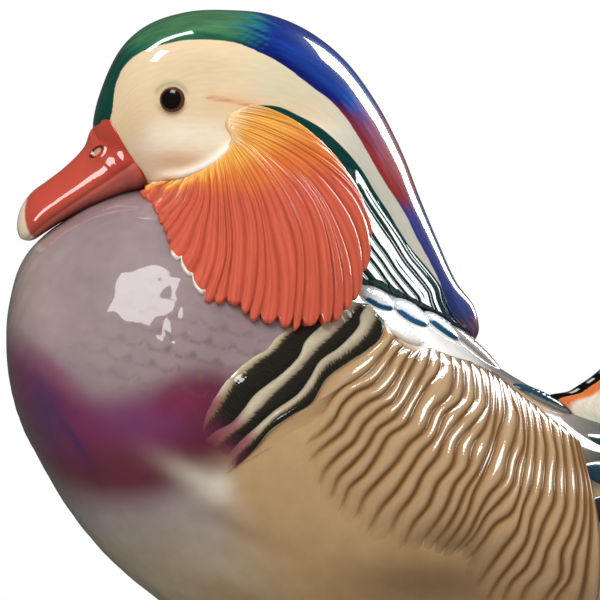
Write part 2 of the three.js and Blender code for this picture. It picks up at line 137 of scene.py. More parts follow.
# The grooves between the flank's feather rows. A program traced most of them in the photograph
# and wrote this table, so it is no example to follow; a few lines and a formula would be.
ROW_LINES = [
    [(-6.5, 76.8), (-8.7, 74), (-10.8, 71.2), (-13, 68.4), (-15.9, 66.3), (-19.1, 64.8),
     (-21.7, 62.5), (-23.6, 59.5), (-25.9, 56.8), (-28.9, 54.9), (-31.9, 53)],
    [(-4.6, 74.6), (-7.5, 71.5), (-9.9, 67.8), (-12.8, 64.7), (-16.7, 62.9), (-19.9, 60),
     (-22, 56.2), (-25.1, 53.3), (-28.7, 50.9), (-31.8, 47.8), (-33.6, 43.9)],
    [(-2.6, 73.4), (-5.2, 69.8), (-7.2, 65.9), (-10, 62.5), (-13.9, 60.4), (-17.2, 57.5),
     (-19.7, 53.8), (-23.1, 51), (-26.4, 48.1), (-28.7, 44.3), (-30.7, 40.3)],
    [(-0.5, 74.2), (-2.8, 69.9), (-5.1, 65.7), (-7.2, 61.3), (-11.1, 58.6), (-14.6, 55.3),
     (-17.1, 51.2), (-20.7, 48.1), (-23.9, 44.4), (-25.5, 39.9), (-26.9, 35.3)],
    [(1.7, 74.2), (0.4, 69.4), (-2, 65.1), (-4.5, 60.9), (-7.4, 57.1), (-11.4, 54.2),
     (-14, 50), (-17.2, 46.3), (-20.6, 42.8), (-22.3, 38.2), (-24.5, 33.8)],
    [(3.8, 73.4), (3.3, 68.3), (0.4, 64.5), (-2.3, 60.1), (-4.6, 55.6), (-8.8, 52.6),
     (-11.4, 48.2), (-14.3, 44), (-18, 40.5), (-19.9, 35.7), (-22.3, 31.2)],
    [(6.2, 72.5), (6.8, 67.3), (5.6, 62.4), (1.9, 58.8), (-0.3, 54.1), (-4.1, 50.6),
     (-7.1, 46.4), (-10.7, 42.6), (-14.1, 38.7), (-16.2, 33.9), (-19, 29.5)],
    [(8.4, 71.8), (9.1, 66.4), (8.3, 61.2), (4.3, 57.5), (2.3, 52.5), (-1.3, 48.5),
     (-4.2, 44), (-7.2, 39.6), (-10.7, 35.4), (-13.2, 30.6), (-15.4, 25.7)],
    [(10.6, 71.3), (11.7, 66.1), (11.5, 60.9), (8.2, 56.8), (4.9, 52.7), (2.7, 47.9),
     (-0.5, 43.8), (-2.9, 39), (-6, 34.8), (-8.4, 30), (-10.6, 25.2)],
    [(12.7, 70.3), (14, 64.9), (14.3, 59.4), (11, 55.1), (7.5, 50.9), (6.2, 45.7),
     (2.8, 41.4), (0.6, 36.3), (-2.8, 32), (-5.2, 27), (-8.2, 22.3)],
    [(14.9, 69.4), (15.8, 64.3), (15.6, 59.2), (13.9, 54.4), (11.1, 50.3), (9.9, 45.3),
     (6.9, 41.2), (5, 36.5), (2.4, 32.1), (-0.4, 27.9), (-1, 22.8)],
    [(16.1, 68.6), (16.8, 63.6), (16.8, 58.6), (16, 53.6), (14.5, 48.8), (12.4, 44.2),
     (9.6, 40.1), (7.6, 35.5), (5.2, 31.2), (2.2, 27.1), (0.7, 22.3)],
    [(17.3, 67.9), (18.4, 63), (18.7, 57.9), (17.1, 53.1), (15.7, 48.3), (13.7, 43.7),
     (11.4, 39.2), (9.8, 34.4), (7.3, 30), (4.4, 25.9), (2.2, 21.4)],
    [(19.4, 66.2), (20.4, 61.3), (22, 56.7), (21.1, 51.8), (19.5, 47.2), (18.3, 42.4),
     (15, 38.7), (12.5, 34.4), (10.4, 29.9), (7.4, 25.9), (5.3, 21.4)],
    [(21.4, 64.3), (22.5, 59.7), (23.3, 55), (23.4, 50.2), (21.7, 45.8), (20.7, 41.1),
     (17.8, 37.4), (14.5, 34), (12.1, 29.9), (9.1, 26.1), (6.2, 22.3)],
    [(23, 63.1), (24, 58.3), (24.4, 53.5), (24, 48.6), (23.1, 43.8), (22.3, 39),
     (20.3, 34.5), (16.4, 31.7), (13.6, 27.7), (10.6, 23.9), (6.7, 20.9)],
    [(24.7, 61.9), (25.7, 56.6), (26.1, 51.2), (25.7, 45.8), (24.9, 40.5), (22.9, 35.5),
     (21.5, 30.4), (18.3, 26.1), (15.2, 21.7), (12.2, 17.3), (8.2, 13.7)],
    [(26.4, 60.7), (27.5, 55.2), (28.6, 49.6), (28.2, 44.1), (27.3, 38.5), (25.2, 33.3),
     (23.8, 27.7), (20.7, 23.1), (17.3, 18.6), (14.6, 13.6), (11.5, 8.9)],
    [(29.3, 58.3), (30.2, 53), (31.3, 47.7), (30.7, 42.3), (30.4, 36.9), (28, 32),
     (26.2, 26.9), (24, 22.1), (20.3, 18), (18.3, 13), (16.3, 7.9)],
    [(31.7, 56.4), (32.5, 51.2), (33, 46), (33.1, 40.7), (33.1, 35.5), (31.3, 30.6),
     (28.9, 26), (27.2, 21.1), (23.9, 17), (22.3, 12.1), (21.1, 7)],
    [(33.4, 55.4), (34.5, 50.4), (35.4, 45.2), (35.9, 40.1), (35.7, 34.9), (34.4, 29.9),
     (32.2, 25.2), (31.8, 20), (29.1, 15.7), (26.9, 11), (25.4, 6)],
    [(34.3, 54.5), (35.6, 49.5), (36.7, 44.6), (37.4, 39.5), (37.6, 34.4), (36.7, 29.4),
     (35, 24.6), (34.1, 19.7), (31.3, 15.4), (29.9, 10.5), (29, 5.5)],
    [(35, 53.8), (36.3, 49), (37.5, 44.2), (38.4, 39.3), (38.9, 34.4), (38.7, 29.4),
     (38.1, 24.5), (37.4, 19.6), (36.5, 14.8), (35.5, 9.9), (34.6, 5)],
    [(35.5, 53), (37, 48.3), (38.3, 43.6), (39.5, 38.8), (40.5, 34), (41.1, 29.1),
     (41.3, 24.2), (41.1, 19.2), (40.7, 14.3), (40.1, 9.4), (39.4, 4.6)],
]
BAR_COUNT = 3
ROW_COUNT = BAR_COUNT + len(ROW_LINES)
ROWS_HEART = (-6.0, 4.0, 44.0)
BLACK_BEGINS = [[0.32, 0.28, 0.44], [0.6, 0.32, 0.48], [0.5, 0.4, 0.46]]

# Lines that the painter follows on the head, the bill and the breast.
CAP_LINE = [
    (-76.8, 124.6), (-74.9, 129.6), (-73.9, 136.6), (-71.5, 141.6), (-67.4, 144.7), (-62.4, 146.4),
    (-56.9, 147.4), (-50.4, 147.4), (-44.9, 146.6), (-38.9, 144.2), (-33.8, 141.4), (-27.4, 136.6),
    (-22.6, 133), (-19, 129.1), (-15.8, 124.3), (-12.5, 118.6), (-9.8, 113.9), (-6.7, 109.2),
    (-4.1, 104.9), (-1.9, 100.3), (0.7, 95.6), (3.6, 89.8), (4.8, 86.2), (6.5, 82.3), (10.1, 77.8),
]
NAPE_LINE = [
    (-30, 118), (-35, 127), (-39.4, 130.9), (-39.2, 131.7), (-34.6, 131.3), (-29.8, 129.1), (-25, 126.5),
    (-20.2, 122.4), (-15.4, 116.9), (-11.8, 111.1), (-8.2, 105.6), (-5.8, 101.5), (-2.9, 97.2),
    (0.2, 93.6), (3.8, 88.8), (5, 85.5), (7, 81.3), (10, 77.6),
]
NAPE_LOW = [
    (-29.5, 16.6, 124), (-27, 17, 117), (-24, 18.5, 110), (-20, 18.5, 100), (-16, 18, 90),
    (-11, 16, 88.6), (-6, 13.5, 86.2), (-1, 11, 84), (5, 7.5, 81.2), (10.4, 3.5, 78),
]
NAPE_HEART = (-20.0, 2.0, 100.0)
NAPE_STRAND = 2.35
PURPLE_TOP = [
    (-106.6, 79.2), (-97, 74.4), (-88.6, 68.4), (-81.4, 63.1), (-74.2, 60.7), (-65.8, 63.6),
    (-57.4, 67), (-50.2, 67.9), (-41.8, 64.8),
]
PATCHES = [
    ((-88.5, 68, 10, 2.6, -0.75), (132, 52, 88), 0.5), ((-90.4, 59, 11, 4.4, -1.25), (74, 58, 92), 0.7),
    ((-69.4, 57, 12, 5, -0.1), (108, 62, 98), 0.7), ((-57, 61.5, 6.5, 4, 0.2), (118, 44, 68), 0.75),
    ((-71, 46.4, 11, 4.2, -0.12), (94, 48, 54), 0.9), ((-83, 51.4, 8, 1, -1.03), (56, 46, 86), 0.6),
    ((-52, 41.6, 11, 2.8, -0.5), (204, 192, 172), 0.75), ((-48, 41, 4, 3, 0.3), (214, 206, 182), 0.7),
    ((-46, 78, 11, 9, 0), (126, 106, 108), 0.6),
    # The last two patches, darker brown low on the breast where it turns under, are painted shade.
    ((-42, 30, 14, 1.7, -0.45), (122, 98, 74), 0.45), ((-44, 14, 12, 3.5, -0.4), (142, 100, 66), 0.5),
]
PURPLE_LOW = [
    (-104.2, 51.6), (-94.6, 44.4), (-85, 39.1), (-75.4, 37.2), (-65.8, 37.7), (-57.4, 41.5),
    (-50.2, 45.4), (-43, 48), (-36, 50),
]
BREAST_END = [
    (-14, 104), (-10, 93), (-10, 81), (-18.5, 70.5), (-27.1, 61), (-37, 54.5), (-43.4, 47.5), (-46, 43.5),
    (-45, 38), (-42, 33), (-38, 20), (-30, 0),
]
GAPE_LINE = [
    (-63.4, 122.9), (-69.4, 118.1), (-75.4, 114), (-82.6, 109.2), (-87.4, 105.8), (-91, 103.2), (-95, 99.6),
]
FACE_LINE = [
    (-79.8, 129), (-79, 126.9), (-77, 127.9), (-75, 128.1), (-74.4, 124.8), (-72.5, 121.7),
    (-69.8, 118.8), (-67.4, 115.9), (-66.2, 113), (-66, 108),
]
NAIL_LINE = [(-93.6, 112.6), (-95.3, 109.2), (-95.8, 105.6), (-94.6, 101.5), (-91.7, 98.2)]
CHEEK_LINE = [
    (-66.5, 112.6), (-63.4, 113.8), (-56.2, 115), (-50.2, 117.6), (-46.6, 120.5), (-44.2, 122.9),
    (-43, 127),
]
EYE = (-60.5, 133.2)
EYE_RADIUS = 3.1
NOSTRIL = (-78.5, 120.7)

# Mantle and shoulder feathers and the quills: middle x and z, half length, half width, lean.
LOBES = [
    (-11.4, 85.6, 4.8, 3.7, -0.3), (-3.4, 82.2, 5.4, 4.4, -0.6), (4, 79, 5.4, 4, -0.42),
    (12, 73.4, 9, 3, -0.83), (28.1, 61.4, 8, 2.4, -0.42), (-5, 77.6, 5.4, 3.2, -0.5),
]
LOBE_THICKNESS = 1.8
QUILLS = [(62, 48.2, 27, 5.2, -0.08), (59, 42, 24, 5.2, 0.02), (56, 35.8, 20, 5, 0.12)]
QUILL_THICKNESS = 2.4
FEATHER_PROUD = 0.3

# Cross sections of a sail feather from inside the wing up to its tip, with half thickness last.
SAIL_RIBS = np.array([
    [50, 45, 50, 45, 0], [29.8, 60.2, 69.8, 47, 1.6], [35.5, 63.6, 74, 60, 1.6], [42, 68.2, 76.8, 68, 1.5],
    [50, 76.5, 79.5, 78, 1.5], [57.5, 88, 80.5, 89.5, 1.4], [63.5, 98.5, 78, 100, 1.1], [71, 106, 71, 106, 0],
])
SAIL_APART = 10.0
SAIL_FLARE = 0.02


def look(red, green, blue):
    """The linear values of a colour that is given as it looks, from 0 to 255."""
    return (np.array([red, green, blue]) / 255.0) ** 2.2


def ramp(value, low, high):
    """0 below low, 1 above high, and between them the S curve 3t^2 - 2t^3."""
    t = np.clip((value - low) / (high - low), 0.0, 1.0)
    return t * t * (3.0 - 2.0 * t)


def painted(under, over, amount):
    """One colour over another by an amount for each place."""
    return under + (over - under) * np.asarray(amount)[..., None]


def curve_at(table, share, ends=None):
    """A smooth curve through a table's rows, 0 at the first and 1 at the last. Between two rows
    it is the cubic that leaves each row along half the step between that row's neighbours."""
    rows = np.asarray(table, float)
    before, after = ends if ends else (2 * rows[0] - rows[1], 2 * rows[-1] - rows[-2])
    knots = np.vstack([before, rows, after])
    place = np.clip(share, 0.0, 1.0) * (len(rows) - 1)
    first = np.minimum(place.astype(int), len(rows) - 2)
    t = (place - first)[..., None]
    a, b, c, d = knots[first], knots[first + 1], knots[first + 2], knots[first + 3]
    bend = (c - a) * t + (2 * a - 5 * b + 4 * c - d) * t**2 + (3 * b - a - 3 * c + d) * t**3
    return b + bend / 2


def rib_lines(ribs, share):
    """The top and the bottom line of a row of ribs, as x, half width, z, closed by round poles:
    past a pole the top line goes on as the bottom line with its half width negative."""
    top = ribs[:, [0, 4, 1]]
    bottom = ribs[:, [2, 4, 3]]
    over = np.array([1, -1, 1])
    upper = curve_at(top, share, (bottom[1] * over, bottom[-2] * over))
    lower = curve_at(bottom, share, (top[1] * over, top[-2] * over))
    return upper, lower


def loft(ribs, shares, angles, fullness=0.0):
    """Rings along a row of ribs. A place is the ring's middle, plus half the ring's height times
    the cosine of its angle, and its half width times the sine to the side."""
    top, bottom = rib_lines(ribs, shares)
    middle = (top + bottom)[:, None, :] / 2
    reach = (top - bottom)[:, None, :] / 2
    rise = np.cos(angles)[None, :]
    x = middle[..., 0] + reach[..., 0] * rise
    z = middle[..., 2] + reach[..., 2] * rise
    y = top[:, None, 1] * np.sin(angles)[None, :] * (1 - fullness * rise)
    return np.stack([x, y, z], axis=-1)


def ring_shares(count):
    """Even shares of a length without its two ends."""
    return np.linspace(0.0, 1.0, count + 2)[1:-1]


def ring_angles(count):
    return np.arange(count) * (2 * np.pi / count)


def outward(points, inside, around=False):
    """Unit normals of a grid: the cross product of the steps to its neighbours both ways,
    turned away from a place inside."""
    grid = points
    if around:
        grid = np.concatenate([points[:, -1:], points, points[:, :1]], axis=1)
    normal = np.cross(np.gradient(grid, axis=0), np.gradient(grid, axis=1))
    if around:
        normal = normal[:, 1:-1]
    normal /= np.maximum(np.linalg.norm(normal, axis=-1, keepdims=True), 1e-9)
    facing = np.sum(normal * (points - np.array(inside)))
    return normal if facing > 0 else -normal


def past_line(x, z, table, samples=120):
    """How far a side-view place lies to the left of a smooth line, negative to its right,
    and at what share of the line its nearest place is."""
    path = curve_at(table, np.linspace(0.0, 1.0, samples))
    start = path[:-1]
    step = np.diff(path, axis=0)
    square = np.sum(step**2, axis=1)
    flat_x = np.ravel(x)
    flat_z = np.ravel(z)
    distance = np.empty(flat_x.shape)
    share = np.empty(flat_x.shape)
    for first in range(0, len(flat_x), 20000):
        part = slice(first, first + 20000)
        from_x = flat_x[part, None] - start[:, 0]
        from_z = flat_z[part, None] - start[:, 1]
        along = np.clip((from_x * step[:, 0] + from_z * step[:, 1]) / square, 0.0, 1.0)
        off = np.hypot(from_x - along * step[:, 0], from_z - along * step[:, 1])
        nearest = np.argmin(off, axis=1)
        row = np.arange(len(nearest))
        side = step[nearest, 0] * from_z[row, nearest] - step[nearest, 1] * from_x[row, nearest]
        distance[part] = off[row, nearest] * np.where(side >= 0, 1.0, -1.0)
        share[part] = (nearest + along[row, nearest]) / (samples - 1)
    return distance.reshape(np.shape(x)), share.reshape(np.shape(x))


def waver(place, seed, waves=6):
    """An irregular run between about -1 and 1: sines of seeded lengths and starts, added."""
    chance = np.random.default_rng(seed)
    total = 0.0
    for _ in range(waves):
        total = total + np.sin(place * chance.uniform(0.5, 2.2) + chance.uniform(0, 6.28))
    return total / np.sqrt(waves)


def ripples(first, second, seed, shortest):
    """Soft unevenness between about -1 and 1: seeded waves that cross each other at all angles,
    none shorter than the length given."""
    chance = np.random.default_rng(seed)
    total = 0.0
    for _ in range(6):
        angle = chance.uniform(0, np.pi)
        steep = 2 * np.pi / (shortest * chance.uniform(1.0, 2.0))
        way = np.cos(angle) * first + np.sin(angle) * second
        total = total + np.sin(steep * way + chance.uniform(0, 6.28))
    return total / 2.5


BODY_SHARES = np.linspace(0.0, 1.0, 4001)
BODY_TOP, _ = rib_lines(BODY_RIBS, BODY_SHARES)


def body_side(x, z):
    """The body's half width at a side-view place: its ring's half width times the root of one
    less the squared rise, and fuller below."""
    share = np.interp(x, BODY_TOP[:, 0], BODY_SHARES)
    top, bottom = rib_lines(BODY_RIBS, share)
    rise = np.clip((2 * z - top[..., 2] - bottom[..., 2]) / (top[..., 2] - bottom[..., 2]), -0.9995, 0.9995)
    return top[..., 1] * np.sqrt(1 - rise**2) * (1 - BODY_FULLNESS * rise)


def grid_faces(rows, columns, around):
    """The four-cornered faces between neighbouring places of a grid."""
    row = np.arange(rows - 1)[:, None]
    column = np.arange(columns if around else columns - 1)[None, :]
    beside = (column + 1) % columns
    here = row * columns
    above = (row + 1) * columns
    corners = [here + column, above + column, above + beside, here + beside]
    return np.stack(np.broadcast_arrays(*corners), axis=-1).reshape(-1, 4)


def place_piece(name, places, quads, cone, values, material):
    """Makes the mesh of a piece from its places in millimetres. Faces are turned round if they enclose less
    than nothing, so they face outwards. The cone's faces are flat unless the values ask for round ones."""
    corners = [places[quads[:, i]] for i in range(4)]
    volume = np.sum(corners[0] * (np.cross(corners[1], corners[2]) + np.cross(corners[2], corners[3])))
    tips = [places[cone[:, i]] for i in range(3)]
    volume += np.sum(tips[0] * np.cross(tips[1], tips[2]))
    if volume < 0:
        quads = quads[:, ::-1]
        cone = cone[:, ::-1]
    mesh = bpy.data.meshes.new(name)
    mesh.vertices.add(len(places))
    mesh.vertices.foreach_set("co", (places * MM).astype(np.float32).ravel())
    loops = np.concatenate([quads.ravel(), cone.ravel()]).astype(np.int32)
    mesh.loops.add(len(loops))
    mesh.loops.foreach_set("vertex_index", loops)
    sizes = np.concatenate([np.full(len(quads), 4), np.full(len(cone), 3)])
    mesh.polygons.add(len(sizes))
    mesh.polygons.foreach_set("loop_start", (np.cumsum(sizes) - sizes).astype(np.int32))
    smooth = np.ones(len(sizes), bool)
    smooth[len(quads):] = values.pop("round", False)
    mesh.polygons.foreach_set("use_smooth", smooth)
    for key, value in values.items():
        if value.ndim == 1:
            layer = mesh.attributes.new(key, "FLOAT", "POINT")
            layer.data.foreach_set("value", value.astype(np.float32))
        elif key == "grain":
            layer = mesh.attributes.new(key, "FLOAT_VECTOR", "POINT")
            layer.data.foreach_set("vector", value.astype(np.float32).ravel())
        else:
            layer = mesh.attributes.new(key, "FLOAT_COLOR", "POINT")
            rgba = np.concatenate([np.clip(value, 0, 1), np.ones((len(value), 1))], axis=1)
            layer.data.foreach_set("color", rgba.astype(np.float32).ravel())
    mesh.update(calc_edges=True)
    mesh.validate()
    mesh.materials.append(material)
    piece = bpy.data.objects.new(name, mesh)
    bpy.context.scene.collection.objects.link(piece)
    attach(piece, "root")
    return piece


def spread(values, extra):
    """Each grid of values as one row of them, with values for the places added after the grid:
    each of those takes the mean of a row of the grid."""
    flat = {}
    for key, value in values.items():
        cells = value.reshape(-1, *value.shape[2:])
        added = [value[row].mean(axis=0, keepdims=True) for row in extra]
        flat[key] = np.concatenate([cells, *added])
    return flat


def round_piece(name, points, start, end, values, material):
    """A closed form of rings with a pole before the first ring and one after the last."""
    rows, columns = points.shape[:2]
    places = np.concatenate([points.reshape(-1, 3), [start, end]])
    column = np.arange(columns)
    beside = (column + 1) % columns
    last = (rows - 1) * columns
    first_cap = np.stack([np.full(columns, rows * columns), column, beside], axis=1)
    last_cap = np.stack([np.full(columns, rows * columns + 1), last + beside, last + column], axis=1)
    flat = spread(values, [0, -1])
    flat["round"] = True
    cone = np.concatenate([first_cap, last_cap])
    return place_piece(name, places, grid_faces(rows, columns, True), cone, flat, material)


def backed_piece(name, points, heart, values, material):
    """A sheet over a grid, closed behind by a cone from its border to a place inside the bird."""
    rows, columns = points.shape[:2]
    places = np.concatenate([points.reshape(-1, 3), [heart]])
    number = np.arange(rows * columns).reshape(rows, columns)
    border = np.concatenate([number[0, :-1], number[:-1, -1], number[-1, :0:-1], number[:0:-1, 0]])
    ahead = np.roll(border, -1)
    cone = np.stack([border, ahead, np.full(len(border), rows * columns)], axis=1)
    flat = spread(values, [0])
    return place_piece(name, places, grid_faces(rows, columns, False), cone, flat, material)


def both_sides(points, side):
    """The places of the +Y side, or the same mirrored to the other side."""
    return points * np.array([1.0, side, 1.0])


# Materials


def add(tree, kind, settings, inputs):
    """A node with its settings, whose inputs are values or the sockets that feed them."""
    node = tree.nodes.new("ShaderNode" + kind)
    for key, value in settings.items():
        setattr(node, key, value)
    for key, value in inputs.items():
        if isinstance(value, bpy.types.NodeSocket):
            tree.links.new(value, node.inputs[key])
        else:
            node.inputs[key].default_value = value
    return node


def read(tree, name, output="Fac"):
    return add(tree, "Attribute", {"attribute_name": name}, {}).outputs[output]


def layered(tree, amount, under, over):
    """One colour over another by an amount."""
    colours = []
    for colour in (under, over):
        fixed = not isinstance(colour, bpy.types.NodeSocket)
        colours.append((*colour, 1.0) if fixed else colour)
    node = add(tree, "Mix", {"data_type": "RGBA"}, {0: amount, 6: colours[0], 7: colours[1]})
    return node.outputs[2]


def between(tree, value, low, high):
    """0 below low, 1 above high, and an S curve between."""
    settings = {"interpolation_type": "SMOOTHSTEP"}
    inputs = {"Value": value, "From Min": low, "From Max": high}
    return add(tree, "MapRange", settings, inputs).outputs[0]


def strokes(tree, stretch, scale, detail=3.0):
    """Noise drawn out along the piece's own grain, as a brush or a carving tool leaves it."""
    grain = read(tree, "grain", "Vector")
    mapped = add(tree, "Mapping", {}, {"Vector": grain, "Scale": (1.0 / stretch, 1.0, 1.0)})
    inputs = {"Vector": mapped.outputs[0], "Scale": scale, "Detail": detail}
    return add(tree, "TexNoise", {}, inputs).outputs[0]


def cloud(tree, scale, detail=3.0):
    """Plain noise in the object's own space."""
    place = add(tree, "TexCoord", {}, {}).outputs["Object"]
    return add(tree, "TexNoise", {}, {"Vector": place, "Scale": scale, "Detail": detail}).outputs[0]


def brushed_edge(tree, name, hair, softness, noise):
    """How much of a colour lies at a place: its distance past the painted line, shifted by
    brush hairs, over the edge's softness."""
    shifted = add(tree, "Math", {"operation": "MULTIPLY_ADD"}, {0: noise, 1: 2 * hair, 2: read(tree, name)})
    return between(tree, shifted.outputs[0], hair - softness, hair + softness)


def tinted(tree, colour, noise, depth):
    """A colour made a little darker or lighter by noise: times 1 - depth to 1 + depth."""
    reach = {"From Min": 0.25, "From Max": 0.75, "To Min": 1 - depth, "To Max": 1 + depth}
    factor = add(tree, "MapRange", {}, {"Value": noise, **reach})
    grey = add(tree, "CombineColor", {}, {0: factor.outputs[0], 1: factor.outputs[0], 2: factor.outputs[0]})
    inputs = {0: 1.0, 6: colour, 7: grey.outputs[0]}
    return add(tree, "Mix", {"data_type": "RGBA", "blend_type": "MULTIPLY"}, inputs).outputs[2]


def glazed(name):
    """A material of paint under a clear glaze, with a slightly uneven glaze surface."""
    material = bpy.data.materials.new(name)
    material.use_nodes = True
    tree = material.node_tree
    shader = tree.nodes["Principled BSDF"]
    shader.inputs["Roughness"].default_value = 0.3
    shader.inputs["Specular IOR Level"].default_value = 0.08
    shader.inputs["Coat Weight"].default_value = 1.0
    shader.inputs["Coat Roughness"].default_value = 0.03
    shader.inputs["Coat IOR"].default_value = 1.55
    uneven = add(tree, "Bump", {}, {"Height": cloud(tree, 90.0, 2.0), "Strength": 0.06, "Distance": 0.002})
    tree.links.new(uneven.outputs[0], shader.inputs["Coat Normal"])
    return material, tree, shader.inputs["Base Color"]


def plumage_paint():
    """Sprayed colours of breast, belly and back with soft mottling, some of them painted shade and glare."""
    material, tree, base = glazed("sprayed_plumage")
    colour = tinted(tree, read(tree, "paint", "Color"), cloud(tree, 260.0, 4.0), 0.07)
    colour = tinted(tree, colour, cloud(tree, 60.0, 2.0), 0.06)
    white = brushed_edge(tree, "foot", 0.1, 0.1, cloud(tree, 400.0))
    colour = layered(tree, white, colour, look(228, 222, 210))
    tree.links.new(colour, base)
    return material


def head_paint():
    """Cap, face and nape, whose borders are brushed hair by hair."""
    material, tree, base = glazed("head_plumage")
    fine = strokes(tree, 9.0, 1.6)
    broad = strokes(tree, 6.0, 0.5)
    face = tinted(tree, read(tree, "face", "Color"), fine, 0.05)
    nape = tinted(tree, read(tree, "nape", "Color"), fine, 0.35)
    cap = tinted(tree, read(tree, "cap", "Color"), broad, 0.3)
    cap = tinted(tree, cap, fine, 0.2)
    brow = brushed_edge(tree, "brow_line", 0.3, 0.3, strokes(tree, 7.0, 2.4))
    face = layered(tree, brow, face, look(208, 150, 112))
    colour = layered(tree, brushed_edge(tree, "nape_edge", 0.12, 0.12, fine), face, nape)
    colour = layered(tree, brushed_edge(tree, "cap_edge", 0.25, 0.12, fine), colour, cap)
    coral = brushed_edge(tree, "bill_edge", 0.06, 0.12, fine)
    colour = layered(tree, coral, colour, look(190, 74, 58))
    tree.links.new(colour, base)
    return material


def bill_paint():
    """Coral red bill with a darker lower half, a pale nail and a ringed nostril."""
    material, tree, base = glazed("coral_bill")
    noise = cloud(tree, 300.0)
    colour = tinted(tree, read(tree, "paint", "Color"), cloud(tree, 120.0), 0.08)
    lower = brushed_edge(tree, "lower", 0.12, 0.12, noise)
    colour = layered(tree, lower, colour, look(192, 94, 82))
    ring = brushed_edge(tree, "nostril_ring", 0.05, 0.12, noise)
    colour = layered(tree, ring, colour, look(92, 30, 24))
    pit = brushed_edge(tree, "nostril_pit", 0.05, 0.12, noise)
    colour = layered(tree, pit, colour, look(214, 150, 128))
    nail = brushed_edge(tree, "nail", 0.35, 0.35, noise)
    colour = layered(tree, nail, colour, look(226, 205, 178))
    tree.links.new(colour, base)
    return material


def fan_paint():
    """Orange to red along the flutes, with finer strokes of the brush."""
    material, tree, base = glazed("orange_fan")
    colour = tinted(tree, read(tree, "paint", "Color"), strokes(tree, 10.0, 2.2), 0.12)
    colour = tinted(tree, colour, strokes(tree, 8.0, 0.7), 0.1)
    bare = brushed_edge(tree, "bare", 0.2, 0.15, cloud(tree, 500.0))
    colour = layered(tree, bare, colour, look(240, 228, 210))
    tree.links.new(colour, base)
    return material


def rows_paint():
    """Cream and black bars with brushed borders, then tan rows with dark grooves."""
    material, tree, base = glazed("barred_flank")
    fine = strokes(tree, 5.0, 1.9)
    tan = tinted(tree, read(tree, "paint", "Color"), fine, 0.07)
    cream = tinted(tree, read(tree, "cream", "Color"), fine, 0.12)
    black = tinted(tree, read(tree, "black", "Color"), fine, 0.3)
    dark = brushed_edge(tree, "into_black", 1.3, 0.6, fine)
    bars = layered(tree, dark, cream, black)
    row = read(tree, "row")
    flank = between(tree, row, BAR_COUNT - 0.02, BAR_COUNT + 0.02)
    colour = layered(tree, flank, bars, tan)
    breast = brushed_edge(tree, "breast_edge", 0.3, 0.45, fine)
    colour = layered(tree, breast, colour, read(tree, "breast", "Color"))
    tree.links.new(colour, base)
    return material


def eye_paint():
    """A dark eye with a brown rim."""
    material, tree, base = glazed("dark_eye")
    rim = between(tree, read(tree, "radius"), 0.72, 0.86)
    colour = layered(tree, rim, look(18, 12, 10), look(96, 56, 34))
    edge = between(tree, read(tree, "radius"), 0.9, 0.97)
    colour = layered(tree, edge, colour, look(60, 44, 36))
    tree.links.new(tinted(tree, colour, cloud(tree, 900.0), 0.15), base)
    return material


def feather_paint(name):
    """A painted feather: the colours given to it, with painted glare and shade in some, and streaks along its
    barbs.
    """
    material, tree, base = glazed(name)
    colour = tinted(tree, read(tree, "paint", "Color"), strokes(tree, 5.0, 1.4), 0.16)
    edge = brushed_edge(tree, "edge", 0.25, 0.2, strokes(tree, 3.0, 1.4))
    colour = layered(tree, edge, colour, read(tree, "edging", "Color"))
    tree.links.new(colour, base)
    return material


# Pieces


def scales(along, across, long, wide):
    """The height of overlapping scales, 0 to 1, how far a place is in the notch at a scale's
    root, and how near its rim. Each row of scales is shifted by half a scale from the last one. A
    scale rises along its length inside an oval, and the highest oval over a place counts."""
    p = along / long
    q = across / wide
    best = np.zeros(np.shape(p))
    notch = np.zeros(np.shape(p))
    rim = np.zeros(np.shape(p))
    for behind in (0, 1):
        row = np.floor(p) - behind
        shift = 0.5 * (row % 2)
        dp = (p - row) / 1.6
        dq = q - shift - np.round(q - shift)
        oval = np.clip((2 * dp - 1) ** 2 * (dp > 0.5) + (1.75 * dq) ** 2, 0.0, 1.0)
        height = (1 - oval**2) * (0.25 + 0.75 * dp) * (dp <= 1.0)
        higher = height > best
        notch = np.where(higher, ramp(dp, 0.45, 0.06) * np.exp(-((dq / 0.34) ** 2)), notch)
        rim = np.where(higher, ramp(oval, 0.35, 0.8) * ramp(dp, 0.5, 0.7), rim)
        best = np.maximum(best, height)
    return best, notch, rim


def soft_patch(x, z, place):
    """A soft spot of 1 in its middle: e to the minus squared distance, measured in its half
    length along its lean and in its half width across."""
    middle_x, middle_z, long, wide, lean = place
    along = (x - middle_x) * np.cos(lean) + (z - middle_z) * np.sin(lean)
    across = (z - middle_z) * np.cos(lean) - (x - middle_x) * np.sin(lean)
    return np.exp(-((along / long) ** 2) - (across / wide) ** 2)


